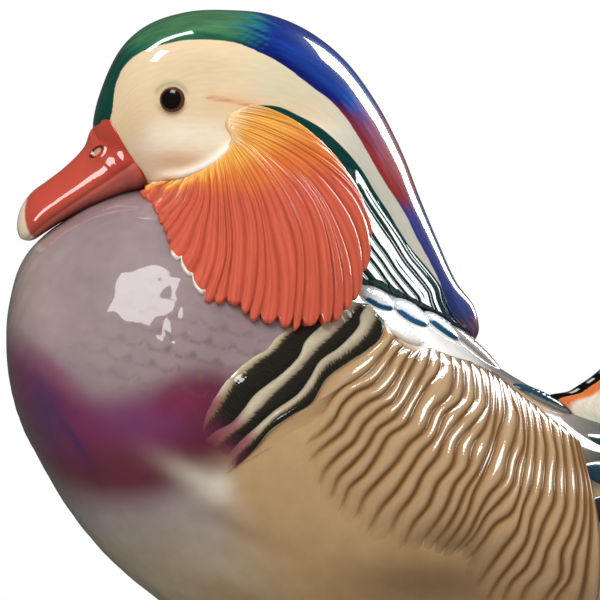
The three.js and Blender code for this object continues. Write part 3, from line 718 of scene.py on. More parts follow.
def plumage_colour(points):
    """Sprayed body colours by side-view place, blended past painted lines, with painted shade and glare."""
    x = points[..., 0]
    z = points[..., 2]
    past_top, _ = past_line(x, z, PURPLE_TOP)
    past_low, _ = past_line(x, z, PURPLE_LOW)
    colour = np.broadcast_to(look(144, 126, 127), points.shape)
    colour = painted(colour, look(164, 144, 136), 0.8 * ramp(z, 70, 84) * ramp(x, -78, -96))
    below = ramp(-past_top, -4.5, 5.5)
    colour = painted(colour, look(112, 46, 78), below)
    colour = painted(colour, look(88, 36, 54), below * ramp(x, -68, -52))
    maroon = ramp(-past_low, -12, -2) * ramp(x, -96, -84)
    colour = painted(colour, look(92, 42, 48), 0.9 * maroon)
    belly = ramp(-past_low, -6.0, 6.5)
    pale = look(158, 144, 136)
    tan = look(168, 138, 98)
    under = painted(np.broadcast_to(pale, points.shape), tan, ramp(x + 0.35 * (z - 40), -56, -38))
    under = painted(under, look(178, 160, 128), ramp(z, 36, 14) * ramp(x, 20, -60))
    colour = painted(colour, under, belly)
    for place, tint, amount in PATCHES:
        colour = painted(colour, look(*tint), amount * soft_patch(x, z, place))
    past_end, _ = past_line(x, z, BREAST_END)
    soft = np.interp(z, [30, 38, 46], [12, 6, 1])
    flank = ramp(past_end, -soft, soft + 1)
    colour = painted(colour, look(176, 143, 102), flank)
    # Painted shade: a darker brown low on the flank, where the body turns under.
    low = np.exp(-(((x - 2) / 22) ** 2) - ((z - 18) / 7) ** 2)
    colour = painted(colour, look(104, 80, 54), 0.75 * low)
    # Over the back, near-white paint stands in for the glaze's glare there (painted reflection); further back
    # it turns grey.
    back_x = [-60, -20, -9, -1, 9, 18, 28, 36, 45]
    back_line = np.interp(x, back_x, [118, 85, 77.5, 73.4, 70.6, 66.8, 60.8, 53.5, 52])
    mantle = ramp(z - back_line, -1.2, 0.8) * ramp(x, -40, -24)
    grey = painted(np.broadcast_to(look(232, 230, 226), points.shape), look(146, 138, 134), ramp(x, 10, 17))
    colour = painted(colour, grey, mantle)
    rump = ramp(x, 26, 44) * ramp(z, 36, 44)
    colour = painted(colour, look(46, 58, 62), rump)
    vent = ramp(x, 34, 56) * ramp(z, 42, 34)
    colour = painted(colour, look(214, 204, 186), vent)
    return colour


def body_piece(material):
    """The body's rings with carved scales on the breast and grooves in the tail."""
    shares = np.interp(ring_shares(296), [0, 0.68, 1], [0, 0.5, 1])
    turns = np.interp(np.arange(165) / 165, [0, 0.12, 0.78, 1], [0, 0.16, 0.68, 1])
    angles = np.pi * np.concatenate([turns, 2 - np.append(turns[1:], 1.0)[::-1]])
    points = loft(BODY_RIBS, shares, angles, BODY_FULLNESS)
    normal = outward(points, BODY_MIDDLE, True)
    step = np.linalg.norm(np.diff(points, axis=0, prepend=points[:1]), axis=-1)
    along = np.cumsum(step, axis=0)
    girth = np.abs(np.where(angles > np.pi, angles - 2 * np.pi, angles))[None, :]
    across = girth * (points[:, :, 1].max(axis=1)[:, None] + 6.0)
    x = points[..., 0]
    z = points[..., 2]
    scaled = np.exp(-(((x + 55) / 20) ** 2) - ((z - 73) / 10.5) ** 2) * ramp(x, -26, -36)
    scale, notch, rim = scales(-0.97 * z - 0.24 * x, 0.97 * x - 0.24 * z, 4.1, 5.9)
    relief = 0.34 * scaled * scale
    on_breast = ramp(along, 6, 20) * ramp(past_line(x, z, BREAST_END)[0], 0, -5)
    relief += 0.055 * on_breast * ripples(along, across, 21, 7.0)
    tail = ramp(points[..., 0], 62, 82)
    relief -= 0.7 * tail * np.abs(np.cos(7 * angles))[None, :] ** 6 * ramp(100 - points[..., 0], 0, 6)
    points = points + normal * relief[..., None]
    foot = 0.8 - points[..., 2]
    points[..., 2] = np.maximum(points[..., 2], 0.0)
    paint = plumage_colour(points)
    patchy = 0.5 + 0.5 * ripples(along, across, 17, 6.0)
    # Painted shadow: a purplish grey along the rim of each scale.
    paint = painted(paint, look(100, 82, 90), 0.65 * scaled * rim)
    brown = 0.9 * scaled * notch * ramp(patchy, 0.1, 0.5) * ramp(z, 62, 67)
    paint = painted(paint, look(118, 92, 72), brown)
    values = {"paint": paint, "foot": foot}
    start = (-100.25, 0.0, 76.1)
    end = (100.3, 0.0, 46.1)
    return round_piece("body", points, start, end, values, material)


CAP_STOPS = [
    0, 0.13, 0.165, 0.315, 0.345, 0.37, 0.515, 0.535, 0.56, 0.6, 0.635, 0.71, 0.74, 0.9, 0.985, 1.0,
]
CAP_NEAR = [
    (2, 62, 52), (3, 66, 54), (34, 92, 68), (28, 84, 56), (10, 66, 72), (14, 28, 92),
    (18, 24, 98), (96, 24, 44), (114, 38, 58), (134, 44, 56), (146, 48, 48), (148, 46, 42),
    (58, 60, 124), (50, 60, 118), (46, 56, 100), (104, 64, 72),
]
CAP_FAR = [
    (3, 66, 54), (4, 68, 58), (58, 104, 70), (68, 112, 76), (36, 110, 110), (16, 44, 120),
    (14, 60, 140), (20, 84, 160), (104, 62, 110), (140, 80, 106), (152, 78, 86), (146, 60, 62),
    (66, 62, 126), (62, 72, 130), (60, 70, 118), (122, 78, 86),
]


def stops(places, table, share):
    """Colours between a table's stops, channel by channel."""
    colours = np.array([look(*row) for row in table])
    return np.stack([np.interp(share, places, colours[:, i]) for i in range(3)], axis=-1)


def head_relief(points, past_nape):
    """Grooves like combed hair run along the nape, and the eye lies in a soft hollow with a lid."""
    x = points[..., 0]
    z = points[..., 2]
    depth = -past_nape
    comb = depth + 0.25 * waver(x * 0.35, 3) + 0.15 * waver(z * 0.5, 8)
    lift = 0.5 + 0.5 * np.cos(2 * np.pi * comb / 1.75)
    where = ramp(depth, 0.8, 2.2) * ramp(x, -24, -14)
    relief = -0.4 * where * lift
    off = np.hypot(x - EYE[0], (z - EYE[1]) * 1.05)
    relief -= 0.6 * np.exp(-((off / 5.0) ** 2))
    to_root, _ = past_line(x, z, CHEEK_LINE)
    relief += 1.1 * np.exp(-(((to_root - 0.9) / 0.95) ** 2)) * ramp(x, -66, -60) * ramp(x, -41, -46)
    relief += 0.25 * np.exp(-(((off - 3.5) / 0.7) ** 2)) * ramp(z, 130, 134)
    return relief


def head_piece(material):
    """Head and crest: rings from the forehead to the crest's tip, with cap, face and nape."""
    shares = ring_shares(HEAD_RINGS)
    angles = ring_angles(HEAD_SIDES)
    points = loft(HEAD_RIBS, shares, angles)
    normal = outward(points, HEAD_MIDDLE, True)
    x = points[..., 0]
    z = points[..., 2]
    past_cap, cap_share = past_line(x, z, CAP_LINE)
    past_nape, nape_share = past_line(x, z, NAPE_LINE)
    points = points + normal * head_relief(points, past_nape)[..., None]
    hair = 0.016 * waver(past_cap * 2.6, 5) + 0.008 * waver(past_cap * 6.0 + 3 * cap_share, 7)
    near = stops(CAP_STOPS, CAP_NEAR, cap_share + hair)
    far = stops(CAP_STOPS, CAP_FAR, cap_share + hair)
    streak = 0.5 * waver(past_cap * 1.3 + 30 * cap_share, 5)
    cap = painted(near, far, ramp(past_cap + streak, 0.6, 3.2))
    face = np.broadcast_to(look(222, 196, 158), points.shape)
    face = painted(face, look(206, 184, 148), 0.8 * soft_patch(x, z, (-52, 141, 10, 4, -0.1)))
    face = painted(face, look(248, 232, 204), ramp(x, -73, -62) * ramp(z, 131, 124))
    face = painted(face, look(206, 194, 162), ramp(x, -48, -34) * ramp(z, 128, 136))
    face = painted(face, look(200, 196, 180), ramp(x, -30, -14))
    # Painted shade: peach brown in the hollow behind the cheek ridge.
    hollow_shade = np.exp(-(((x + 59) / 8) ** 2) - ((z - 118.4) / 2.6) ** 2)
    face = painted(face, look(222, 168, 124), 0.75 * hollow_shade)
    smudge = np.exp(-(((x + 70) / 5) ** 2) - ((z - 127) / 5) ** 2)
    face = painted(face, look(212, 176, 132), 0.45 * smudge)
    root = np.exp(-(((x + 42.5) / 4.5) ** 2) - ((z - 127.5) / 4.5) ** 2)
    face = painted(face, look(240, 186, 118), 0.8 * root)
    to_root, _ = past_line(x, z, CHEEK_LINE)
    # Painted highlight: near-white along the cheek ridge at the fan's root.
    rim = np.exp(-(((to_root - 0.8) / 0.85) ** 2)) * ramp(x, -61, -57) * ramp(x, -42, -46)
    face = painted(face, look(255, 252, 246), rim)
    line_height = 133.3 - 0.05 * (x + 52) - 0.012 * (x + 52) ** 2
    above = z - line_height
    brow_line = 0.36 - np.where(above > 0, 0.33 * above + 0.2 * ramp(above, 0.0, 0.3), -above)
    brow_line = brow_line - 3 * ramp(x, -51.5, -56) - 3 * ramp(x, -39.5, -37)
    warm = np.exp(-(((z - line_height - 0.4) / 1.6) ** 2)) * ramp(x, -54, -50) * ramp(x, -36, -40)
    face = painted(face, look(222, 178, 140), 0.6 * warm)
    off = np.hypot(x - EYE[0], z - EYE[1])
    lid = np.exp(-(((off - 4.0) / 0.55) ** 2)) * ramp(z - EYE[1], 0.3, 2.5)
    face = painted(face, look(150, 146, 112), 0.75 * lid)
    low_lid = np.exp(-(((off - 3.6) / 0.5) ** 2)) * ramp(z - EYE[1], -0.3, -2.5)
    face = painted(face, look(172, 120, 84), 0.5 * low_lid)
    nape = np.broadcast_to(look(14, 62, 58), points.shape)
    nape = painted(nape, look(10, 36, 52), ramp(nape_share, 0.7, 0.95))
    grain_along = np.broadcast_to(200 * shares[:, None], x.shape)
    girth = np.where(angles > np.pi, 2 * np.pi - angles, angles)
    grain_across = np.broadcast_to(18 * girth[None, :], x.shape)
    grain = np.stack([grain_along, grain_across, np.zeros_like(grain_along)], axis=-1)
    values = {
        "cap": cap, "face": face, "nape": nape, "cap_edge": past_cap, "nape_edge": -past_nape,
        "brow_line": brow_line, "bill_edge": -past_line(x, z, FACE_LINE)[0], "grain": grain,
    }
    start = (-77.6, 0.0, 120.8)
    end = (12.2, 0.0, 75.6)
    return round_piece("head_crest", points, start, end, values, material)


def nape_piece(side, material):
    """The hind neck under the crest, a sheet of combed strands. It runs straight from the crest's
    lower edge to a line behind the fan and over the back. The strands lie side by side along the
    crest's edge, each with a flat top between two narrow grooves."""
    along = np.linspace(0.0, 1.0, 240)
    across = np.linspace(0.0, 1.0, 92)
    upper = []
    for x, z in NAPE_LINE[5:]:
        place, _ = head_surface(x, z + 0.5)
        upper.append((place[0], place[1] - 0.35, place[2]))
    upper = curve_at(upper, along)[:, None, :]
    lower = curve_at(NAPE_LOW, along)[:, None, :]
    sheet = upper + (lower - upper) * across[None, :, None]
    sheet[..., 1] += 0.5 * np.sin(np.pi * across)
    normal = outward(sheet, NAPE_HEART)
    past_edge, _ = past_line(sheet[..., 0], sheet[..., 2], NAPE_LINE)
    comb = waver(along * 16, 12, 4)[:, None]
    strand = (-past_edge - 1.0 + 0.3 * comb) / NAPE_STRAND
    strand = strand + 0.25 * np.sin(1.7 * strand + 1.0)
    middle = np.abs(2 * (strand - np.floor(strand)) - 1)
    flat_top = 1 - middle ** 5
    begun = ramp(strand, -0.1, 0.1) * ramp(sheet[..., 0], -17.5, -14)
    hem = ramp(across, 0.86, 1.0)[None, :]
    height = 0.42 * begun * (flat_top - 0.5) - 0.5 * ramp(across, 0.04, 0.0) - 0.9 * hem**2
    height = height + 0.03 * np.sin(2 * np.pi * strand * 2.0) * begun * flat_top
    height = height - 0.24 * np.clip(-16.5 - sheet[..., 0], 0.0, 5.0)
    points = sheet + normal * height[..., None]
    rear = ramp(along, 0.5, 0.95)[:, None] + 0 * strand
    paint = painted(np.broadcast_to(look(12, 66, 56), points.shape), look(8, 36, 56), rear)
    # Painted shade: near black in the grooves between the strands.
    paint = painted(paint, look(2, 16, 18), 0.8 * begun * ramp(middle, 0.6, 1.0))
    flat = 0 * strand
    grain = np.stack([80 * along[:, None] + flat, 6 * strand, flat], axis=-1)
    values = {"paint": paint, "edge": flat - 5.0, "edging": paint, "grain": grain}
    name = "nape_right" if side > 0 else "nape_left"
    heart = both_sides(np.array(NAPE_HEART), side)
    return backed_piece(name, both_sides(points, side), heart, values, material)


def neck_piece(material):
    """The neck's egg, sprayed like the breast in front and dark green behind."""
    polar = np.pi * ring_shares(60)
    angles = ring_angles(84)
    x = NECK["wide"] * np.sin(polar)[:, None] * np.cos(angles)[None, :]
    y = NECK["half"] * np.sin(polar)[:, None] * np.sin(angles)[None, :]
    z = np.broadcast_to(NECK["long"] * np.cos(polar)[:, None], x.shape)
    lean = np.sin(NECK["lean"])
    upright = np.cos(NECK["lean"])
    tall_x = NECK["x"] + x * upright - z * lean
    tall_z = NECK["z"] + x * lean + z * upright
    points = np.stack([tall_x, y, tall_z], axis=-1)
    behind = ramp(tall_x, -38, -26)
    colour = painted(plumage_colour(points), look(14, 58, 56), behind)
    values = {"paint": colour, "foot": np.full(x.shape, -5.0)}
    tip = np.array([-lean, 0.0, upright]) * NECK["long"]
    centre = np.array([NECK["x"], 0.0, NECK["z"]])
    return round_piece("neck", points, centre + tip, centre - tip, values, material)


def over_face(points, shares):
    """The bill's rear rings laid over the face: they keep the larger of their own half width and
    the head's, with a soft round between the two. The head's half width at a place is the mean of
    its places around it, weighted by e to the minus squared distance."""
    rear = shares > 0.55
    x, y, z = np.moveaxis(points[rear], -1, 0)
    face_shares = ring_shares(HEAD_RINGS)[:FACE_RINGS:2]
    grid = loft(HEAD_RIBS, face_shares, ring_angles(HEAD_SIDES)[1:HEAD_SIDES // 2:2])
    off = (grid[..., 0] - x[..., None, None]) ** 2 + (grid[..., 2] - z[..., None, None]) ** 2
    weight = np.exp(-off / 0.36)
    total = weight.sum(axis=(-2, -1))
    face = (weight * grid[..., 1]).sum(axis=(-2, -1)) / np.maximum(total, 1e-6)
    gap = np.abs(y) - face
    larger = face + 0.12 + (gap + np.sqrt(gap**2 + 0.8)) / 2
    amount = ramp(total, 0.2, 1.2) * ramp(shares[rear], 0.905, 0.885)[:, None]
    laid = points.copy()
    laid[rear, :, 1] = y + (np.sign(y) * larger - y) * amount * ramp(np.abs(y), 0.0, 0.5)
    return laid


def bill_piece(material):
    """The bill's rings, with a groove between its halves and a pit for each nostril."""
    shares = ring_shares(130)
    angles = ring_angles(110)
    points = over_face(loft(BILL_RIBS, shares, angles, BILL_FULLNESS), shares)
    normal = outward(points, BILL_MIDDLE, True)
    x = points[..., 0]
    z = points[..., 2]
    past_gape, _ = past_line(x, z, GAPE_LINE)
    past_nail, _ = past_line(x, z, NAIL_LINE)
    upright = np.abs(normal[..., 1])
    turned_x = (x - NOSTRIL[0]) * 0.75 + (z - NOSTRIL[1]) * 0.66
    turned_z = (z - NOSTRIL[1]) * 0.75 - (x - NOSTRIL[0]) * 0.66
    nostril = np.hypot(turned_x / 1.5, turned_z / 0.7)
    relief = -0.35 * np.exp(-((past_gape / 0.45) ** 2)) * ramp(upright, 0.2, 0.5)
    relief -= 0.4 * np.exp(-(nostril**4)) * ramp(upright, 0.2, 0.5)
    relief += 0.25 * np.exp(-(((nostril - 1.5) / 0.4) ** 2)) * ramp(upright, 0.2, 0.5)
    points = points + normal * relief[..., None]
    colour = np.broadcast_to(look(184, 74, 58), points.shape)
    colour = painted(colour, look(182, 66, 52), ramp(x, -80, -72))
    values = {
        "paint": colour,
        "lower": past_gape,
        "nail": -past_nail,
        "nostril_ring": (1.4 - nostril) + 10 * (ramp(upright, 0.5, 0.2) * -1),
        "nostril_pit": (0.9 - nostril) + 10 * (ramp(upright, 0.5, 0.2) * -1),
    }
    start = (-97.2, 0.0, 100.6)
    end = (-66.0, 0.0, 121.0)
    return round_piece("bill", points, start, end, values, material)


def head_surface(x, z):
    """The place on the head's +Y side that lies nearest to a side-view place."""
    angles = ring_angles(HEAD_SIDES)[1:HEAD_SIDES // 2]
    grid = loft(HEAD_RIBS, ring_shares(HEAD_RINGS), angles)
    off = np.hypot(grid[..., 0] - x, grid[..., 2] - z)
    row, column = np.unravel_index(np.argmin(off), off.shape)
    near = grid[row - 1:row + 2, column - 1:column + 2]
    return near[1, 1], outward(near, HEAD_MIDDLE)[1, 1]


def eye_piece(side, material):
    """A low dome on the head's side: a ball pressed flat along the head's normal."""
    place, normal = head_surface(*EYE)
    level = np.cross(normal, (0.0, 0.0, 1.0))
    level /= np.linalg.norm(level)
    rise = np.cross(level, normal)
    polar = np.pi * ring_shares(40)
    angles = ring_angles(64)
    radius = np.broadcast_to(np.sin(polar)[:, None], (40, 64))
    outer = (radius * np.cos(angles))[..., None] * level + (radius * np.sin(angles))[..., None] * rise
    height = np.cos(polar)[:, None, None] * normal
    points = place - 0.2 * normal + EYE_RADIUS * outer + 1.5 * height
    shown = np.where(np.cos(polar)[:, None] > 0, radius, 2 - radius)
    values = {"radius": shown}
    start = place - 0.2 * normal + 1.5 * normal
    end = place - 0.2 * normal - 1.5 * normal
    name = "eye_right" if side > 0 else "eye_left"
    points = both_sides(points, side)
    return round_piece(name, points, both_sides(start, side), both_sides(end, side), values, material)


def fan_piece(side, material):
    """A cheek fan. Each flute runs along a Bezier curve from its root over its bend to its tip.
    It is a round ridge between two grooves, flutes lean together in locks, and past the tip the
    sheet turns over in a quarter circle and goes in."""
    across = np.linspace(0.0, 1.0, 12 * FLUTES + 1)
    reach = np.concatenate([np.linspace(0.0, 1.0, FAN_STEPS) ** 0.9, np.ones(7)])
    chance = np.random.default_rng(11)
    length = chance.uniform(-0.02, 0.012, FLUTES)
    tall = chance.uniform(0.75, 1.2, FLUTES)
    widths = chance.uniform(0.7, 1.3, FLUTES)
    borders = np.concatenate([[0.0], np.cumsum(widths)]) / widths.sum()
    counted = np.interp(across, borders, np.arange(FLUTES + 1))
    flute = np.minimum(counted.astype(int), FLUTES - 1)
    within = counted - flute
    ridge = 1 - np.abs(2 * within - 1) ** 3.2
    strands = chance.integers(2, 4, FLUTES)[flute]
    strand = np.abs(np.sin(np.pi * within * strands)) ** 0.6
    lock = waver(across * 26, 4, 3)
    notch = 1 - 0.045 * np.abs(2 * within - 1) ** 3 + length[flute] + 0.008 * lock
    notch = np.where((across < 0.02) | (across > 0.98), 0.97, notch) - 0.012
    t = reach[:, None] * notch[None, :]
    ripple = 0.004 * np.sin(9 * reach[:, None] + 24 * across)
    sway = np.sin(np.pi * reach[:, None]) * (0.009 * lock[None, :] + ripple)
    bent = across[None, :] + sway
    root = curve_at(FAN_ROOT, bent)
    bend = curve_at(FAN_BEND, bent)
    tip = curve_at(FAN_TIP, bent)
    share = t[..., None]
    sheet = (1 - share) ** 2 * root + 2 * share * (1 - share) * bend + share**2 * tip
    front = sheet[:FAN_STEPS]
    normal = outward(front, FAN_HEART)
    inner = ramp(reach[:FAN_STEPS], 0.0, 0.3)[:, None]
    outer = ramp(reach[:FAN_STEPS], 0.25, 0.95)[:, None]
    height = (0.3 * inner + 0.5 * outer) * ridge * tall[flute] - 0.25
    stranded = np.interp(reach[:FAN_STEPS], [0, 0.1, 0.6, 0.9, 1], [0.2, 1, 0.9, 0.35, 0.1])
    height = height + 0.32 * strand * stranded[:, None]
    height = height - 0.6 * ramp(reach[:FAN_STEPS], 0.05, 0.0)[:, None]
    front = front + normal * height[..., None]
    along = front[-1] - front[-3]
    along /= np.linalg.norm(along, axis=-1, keepdims=True)
    over = normal[-1]
    turn = np.linspace(0, np.pi / 2, 6)[1:, None, None]
    rim = front[-1] + 0.8 * (np.sin(turn) * along - (1 - np.cos(turn)) * over)
    inward = rim[-1:] - np.array([1.4, 3.2])[:, None, None] * over
    points = np.concatenate([front, rim, inward])
    red = look(198, 90, 68)
    orange = look(216, 116, 58)
    yellow = look(240, 172, 78)
    wander = 1.2 * waver(across * 90, 6)
    run = np.linalg.norm(np.diff(sheet, axis=0, prepend=sheet[:1]), axis=-1)
    from_root = np.cumsum(run, axis=0) + wander
    from_face = np.interp(across, [0, 0.45, 0.6, 1], [0.5, 1.2, 6, 8])
    to_yellow = np.interp(across, [0, 0.2, 0.4, 0.7, 1], [2.4, 3, 3.5, 8, 11])
    to_orange = np.interp(across, [0, 0.2, 0.4, 0.7, 0.85, 1], [3.2, 5, 9, 16, 23, 33])
    to_red = np.interp(across, [0, 0.2, 0.4, 0.7, 0.85, 1], [4.4, 8, 16, 26, 35, 47])
    colour = np.broadcast_to(look(238, 204, 156), points.shape)
    colour = painted(colour, yellow, ramp(from_root, 0.0, from_face))
    colour = painted(colour, orange, ramp(from_root, to_yellow, to_orange))
    colour = painted(colour, red, ramp(from_root, to_orange, to_red))
    begin = reach[:, None] + 0 * wander
    # Darker red-brown in the grooves between flutes and strands: painted lines, and painted shade in the
    # grooves.
    deep = np.maximum((1 - ridge) ** 1.5, 0.8 * (1 - strand) ** 1.2)[None, :] * ramp(reach, 0.0, 0.1)[:, None]
    colour = painted(colour, look(142, 50, 30), 0.62 * deep)
    # Near-white on the tips and turned-over edges of a few lower flutes.
    white_tip_span = np.interp(across, [0, 0.17, 0.21, 0.29, 0.33, 1], [-2, -2, -0.3, -0.3, -2, -2])
    bare = (reach[:, None] - 1) * 40 + white_tip_span + 0.4 * lock[None, :] + np.zeros_like(begin)
    bare[FAN_STEPS:] += 0.6
    grain = np.stack([40 * reach[:, None] + 0 * begin, 70 * across[None, :] + 0 * begin, 0 * begin], axis=-1)
    name = "fan_right" if side > 0 else "fan_left"
    values = {"paint": colour, "bare": bare, "grain": grain}
    heart = both_sides(np.array(FAN_HEART), side)
    return backed_piece(name, both_sides(points, side), heart, values, material)


FLANK_LINES = np.array(BARS + ROW_LINES)


def row_lines(row, share):
    """Side-view places on the feather rows: smooth curves through the drawn lines, and between
    two lines straight steps from one to the next."""
    lines = np.stack([curve_at(line, share) for line in FLANK_LINES])
    before = np.minimum(np.asarray(row).astype(int), ROW_COUNT - 1)
    past = (np.asarray(row) - before)[:, None, None]
    return lines[before] * (1 - past) + lines[before + 1] * past


def rows_piece(side, material):
    """The feather rows of one side on the body's surface. A row swells between two grooves, less
    where it is narrow. All of it sinks to the body along its front, top and lower borders, and
    turns in at the rear. The first rows, the bars, and the rest are two pieces."""
    per_row = 13
    row = np.linspace(0.0, ROW_COUNT, ROW_COUNT * per_row + 1)
    share = np.linspace(0.0, 1.0, 150)
    side_view = row_lines(row, share)
    x = side_view[..., 0]
    z = side_view[..., 1]
    base = np.stack([x, body_side(x, z), z], axis=-1)
    normal = outward(base, ROWS_HEART)
    number = np.minimum(np.floor(row + 1e-6), ROW_COUNT - 1)
    within = row - number
    bar = row < BAR_COUNT
    crest = np.where(bar, 0.8, 0.55)
    skew = np.where(within < crest, 0.5 * within / crest, 0.5 + 0.5 * (within - crest) / (1 - crest))
    swell = np.where(bar, 0.5 - 0.5 * np.cos(2 * np.pi * skew), 1 - np.abs(2 * skew - 1) ** 2.6)
    lines = row_lines(np.arange(ROW_COUNT + 1), share)
    breadth = np.linalg.norm(np.diff(lines, axis=0), axis=-1)[number.astype(int)]
    step = np.where(bar[:, None], 0.7, np.clip(0.26 * breadth, 0.12, 1.05))
    lift = 0.5 + 1.5 * ramp(row, ROW_COUNT - 6, ROW_COUNT)
    low_from = np.interp(row, [0, 2.9, 3.1, 4, 6, 8], [0.7, 0.7, 0.5, 0.55, 0.62, 0.7])[:, None]
    lower = 1 - ramp(share[None, :], low_from, low_from + 0.29)
    upper = ramp(share, 0.0, 0.07)
    front = ramp(row, 0.0, 0.5)
    fade = lower * upper[None, :] * front[:, None]
    sinks = np.where(bar, 0.88, 0.55)[:, None]
    raised = fade * (lift[:, None] + step * swell[:, None] - 0.3)
    height = 0.1 - 0.2 * ramp(share[None, :], sinks, 1.0) + raised
    hairs = np.sin(2 * np.pi * (share[None, :] * 66 + 0.7 * within[:, None]))
    height = height + 0.05 * hairs * fade * np.where(bar, 0.5, 1.0)[:, None]
    sunk = np.maximum(ramp(share, 0.015, 0.0)[None, :], ramp(row, 0.12, 0.0)[:, None])
    height = height - 0.53 * sunk
    points = base + normal * height[..., None]
    out = normal[-1:]
    back = points[-1:] - points[-3:-2]
    back = back / np.maximum(np.linalg.norm(back, axis=-1, keepdims=True), 1e-9)
    turn = np.linspace(0, np.pi / 2, 5)[1:, None, None]
    rim = points[-1:] + 0.8 * (np.sin(turn) * back - (1 - np.cos(turn)) * out)
    inward = rim[-1:] - out * np.array([1.5, 3.0])[:, None, None]
    added = 6
    points = np.concatenate([points, rim, inward])

    flat = np.stack([x, np.zeros_like(x), z], axis=-1)
    around = plumage_colour(flat)
    tan = painted(around, look(163, 127, 82), 0.8 * lower ** 0.5)
    # Lighter pinkish tan on each row's crest: partly its paler hairs, partly a painted highlight.
    tan = painted(tan, look(184, 155, 126), 0.52 * (swell[:, None] ** 3) * lower)
    # Dark brown along each groove between rows: painted lines, and painted shade in the grooves.
    gap = np.minimum(within, 1 - within)[:, None] * breadth
    groove = np.exp(-((gap / 0.5) ** 2)) + 0.35 * np.exp(-((gap / 1.1) ** 2))
    strength = np.clip(groove, 0, 1) * (fade > 0) * lower ** 0.8
    tan = painted(tan, look(108, 72, 38), 0.85 * strength * ramp(row, 3.5, 4.0)[:, None])
    shade = np.exp(-(((x - 6) / 11) ** 2) - ((z - 26) / 7) ** 2)
    tan = painted(tan, look(92, 72, 46), 0.6 * shade)
    colour = painted(around, tan, ramp(lower, 0.0, 0.35))
    toward_end = 0.8 * x + 0.6 * z
    pink = ramp(toward_end, 3.0, -3.0) * ramp(z, 67, 60)
    wine = ramp(toward_end, -2.0, -10.0)
    cream = painted(np.broadcast_to(look(196, 184, 154), flat.shape), look(132, 54, 82), 0.9 * pink)
    cream = painted(cream, look(116, 54, 74), 0.8 * wine)
    grey = ramp(row, 0.9, 1.2)[:, None] * ramp(1 - share, 0.1, 0.5)[None, :]
    cream = painted(cream, look(176, 164, 142), grey)
    black = painted(np.broadcast_to(look(34, 32, 26), flat.shape), look(98, 40, 64), 0.9 * wine)
    start = np.stack([np.interp(share, [0, 0.5, 1], table) for table in BLACK_BEGINS])
    begins = start[np.minimum(number.astype(int), BAR_COUNT - 1)]
    into_black = np.minimum(within[:, None] - begins, 1.06 - within[:, None]) * np.maximum(breadth, 3.0)
    cream = painted(cream, look(112, 92, 62), 0.6 * ramp(into_black, -1.9, -0.2))
    black = painted(black, look(60, 50, 36), 0.6 * ramp(into_black, 1.4, 0.0))
    ended = ramp(share, 0.84, 1.02)[None, :] * np.where(bar, 1.0, 0.0)[:, None]
    breast_edge = np.maximum(ramp(row, 0.12, 0.0)[:, None], ended) * 1.4 - 0.7
    grain = np.stack([share[None, :] * 50 + 0 * x, row[:, None] * 2.6 + 0 * x, 0 * x], axis=-1)
    slanted = row[:, None] * 7 - share[None, :] * 12
    grain_bars = np.stack([slanted, share[None, :] * 50 + 0 * x, 0 * x], axis=-1)
    grain = np.where(bar[:, None, None], grain_bars, grain)
    values = {
        "paint": colour, "cream": cream, "black": black, "breast": around, "into_black": into_black,
        "row": row[:, None] + 0 * x, "breast_edge": breast_edge, "grain": grain,
    }
    for key, value in values.items():
        values[key] = np.concatenate([value, np.repeat(value[-1:], added, axis=0)])
    ending = "_right" if side > 0 else "_left"
    heart = both_sides(np.array(ROWS_HEART), side)
    cut = BAR_COUNT * per_row
    for name, part in (("bars", slice(0, cut + 1)), ("flank", slice(cut, None))):
        chosen = {key: value[part] for key, value in values.items()}
        backed_piece(name + ending, both_sides(points[part], side), heart, chosen, material)


def feather_piece(name, side, shape, thickness, colours, material):
    """A feather on the body's side: a flat egg whose length lies in the surface, and whose middle
    stands a little proud of it. Barbs fan out from its middle line as fine grooves."""
    x, z, long, wide, lean = shape
    depth = float(body_side(np.array([x]), np.array([z]))[0])
    above, below = body_side(np.array([x, x]), np.array([z + 1.0, z - 1.0]))
    behind, before = body_side(np.array([x + 1.0, x - 1.0]), np.array([z, z]))
    slope = float(above - below) / 2
    sweep = float(behind - before) / 2
    out = np.array([-sweep, 1.0, -slope])
    out /= np.linalg.norm(out)
    along = np.array([np.cos(lean), 0.0, np.sin(lean)])
    along -= along.dot(out) * out
    along /= np.linalg.norm(along)
    across = np.cross(along, out)
    centre = np.array([x, depth + FEATHER_PROUD, z])
    polar = np.pi * ring_shares(38)
    angles = ring_angles(58)
    a = np.cos(angles)[None, :] * np.sin(polar)[:, None]
    b = np.sin(angles)[None, :] * np.sin(polar)[:, None]
    c = np.broadcast_to(np.cos(polar)[:, None], a.shape)
    barb = np.abs(np.sin((a * long + 0.6 * np.abs(b) * wide) * 2.2))
    c = c - 0.06 * barb * (c > 0) * c
    in_length = (a * long)[..., None] * along
    in_width = (b * wide)[..., None] * across
    points = centre + in_length + in_width + (c * thickness)[..., None] * out
    radius = np.sqrt(a**2 + b**2)
    edge = (radius - 0.87) * wide - 0.8 * wide * ramp(b, -0.45, 0.0) - 0.2 * wide * ramp(a, -0.2, -0.9)
    paint = painted(np.broadcast_to(look(*colours[0]), points.shape), look(*colours[1]), ramp(a, -0.9, 0.9))
    edging = np.broadcast_to(look(*colours[2]), points.shape)
    grain = np.stack([(np.abs(b) * wide + a * long * 0.2), a * long, 0 * a], axis=-1)
    values = {"paint": paint, "edge": edge, "edging": edging, "grain": grain}
    name = name + ("_right" if side > 0 else "_left")
    start = both_sides(centre + thickness * out, side)
    end = both_sides(centre - thickness * out, side)
    return round_piece(name, both_sides(points, side), start, end, values, material)


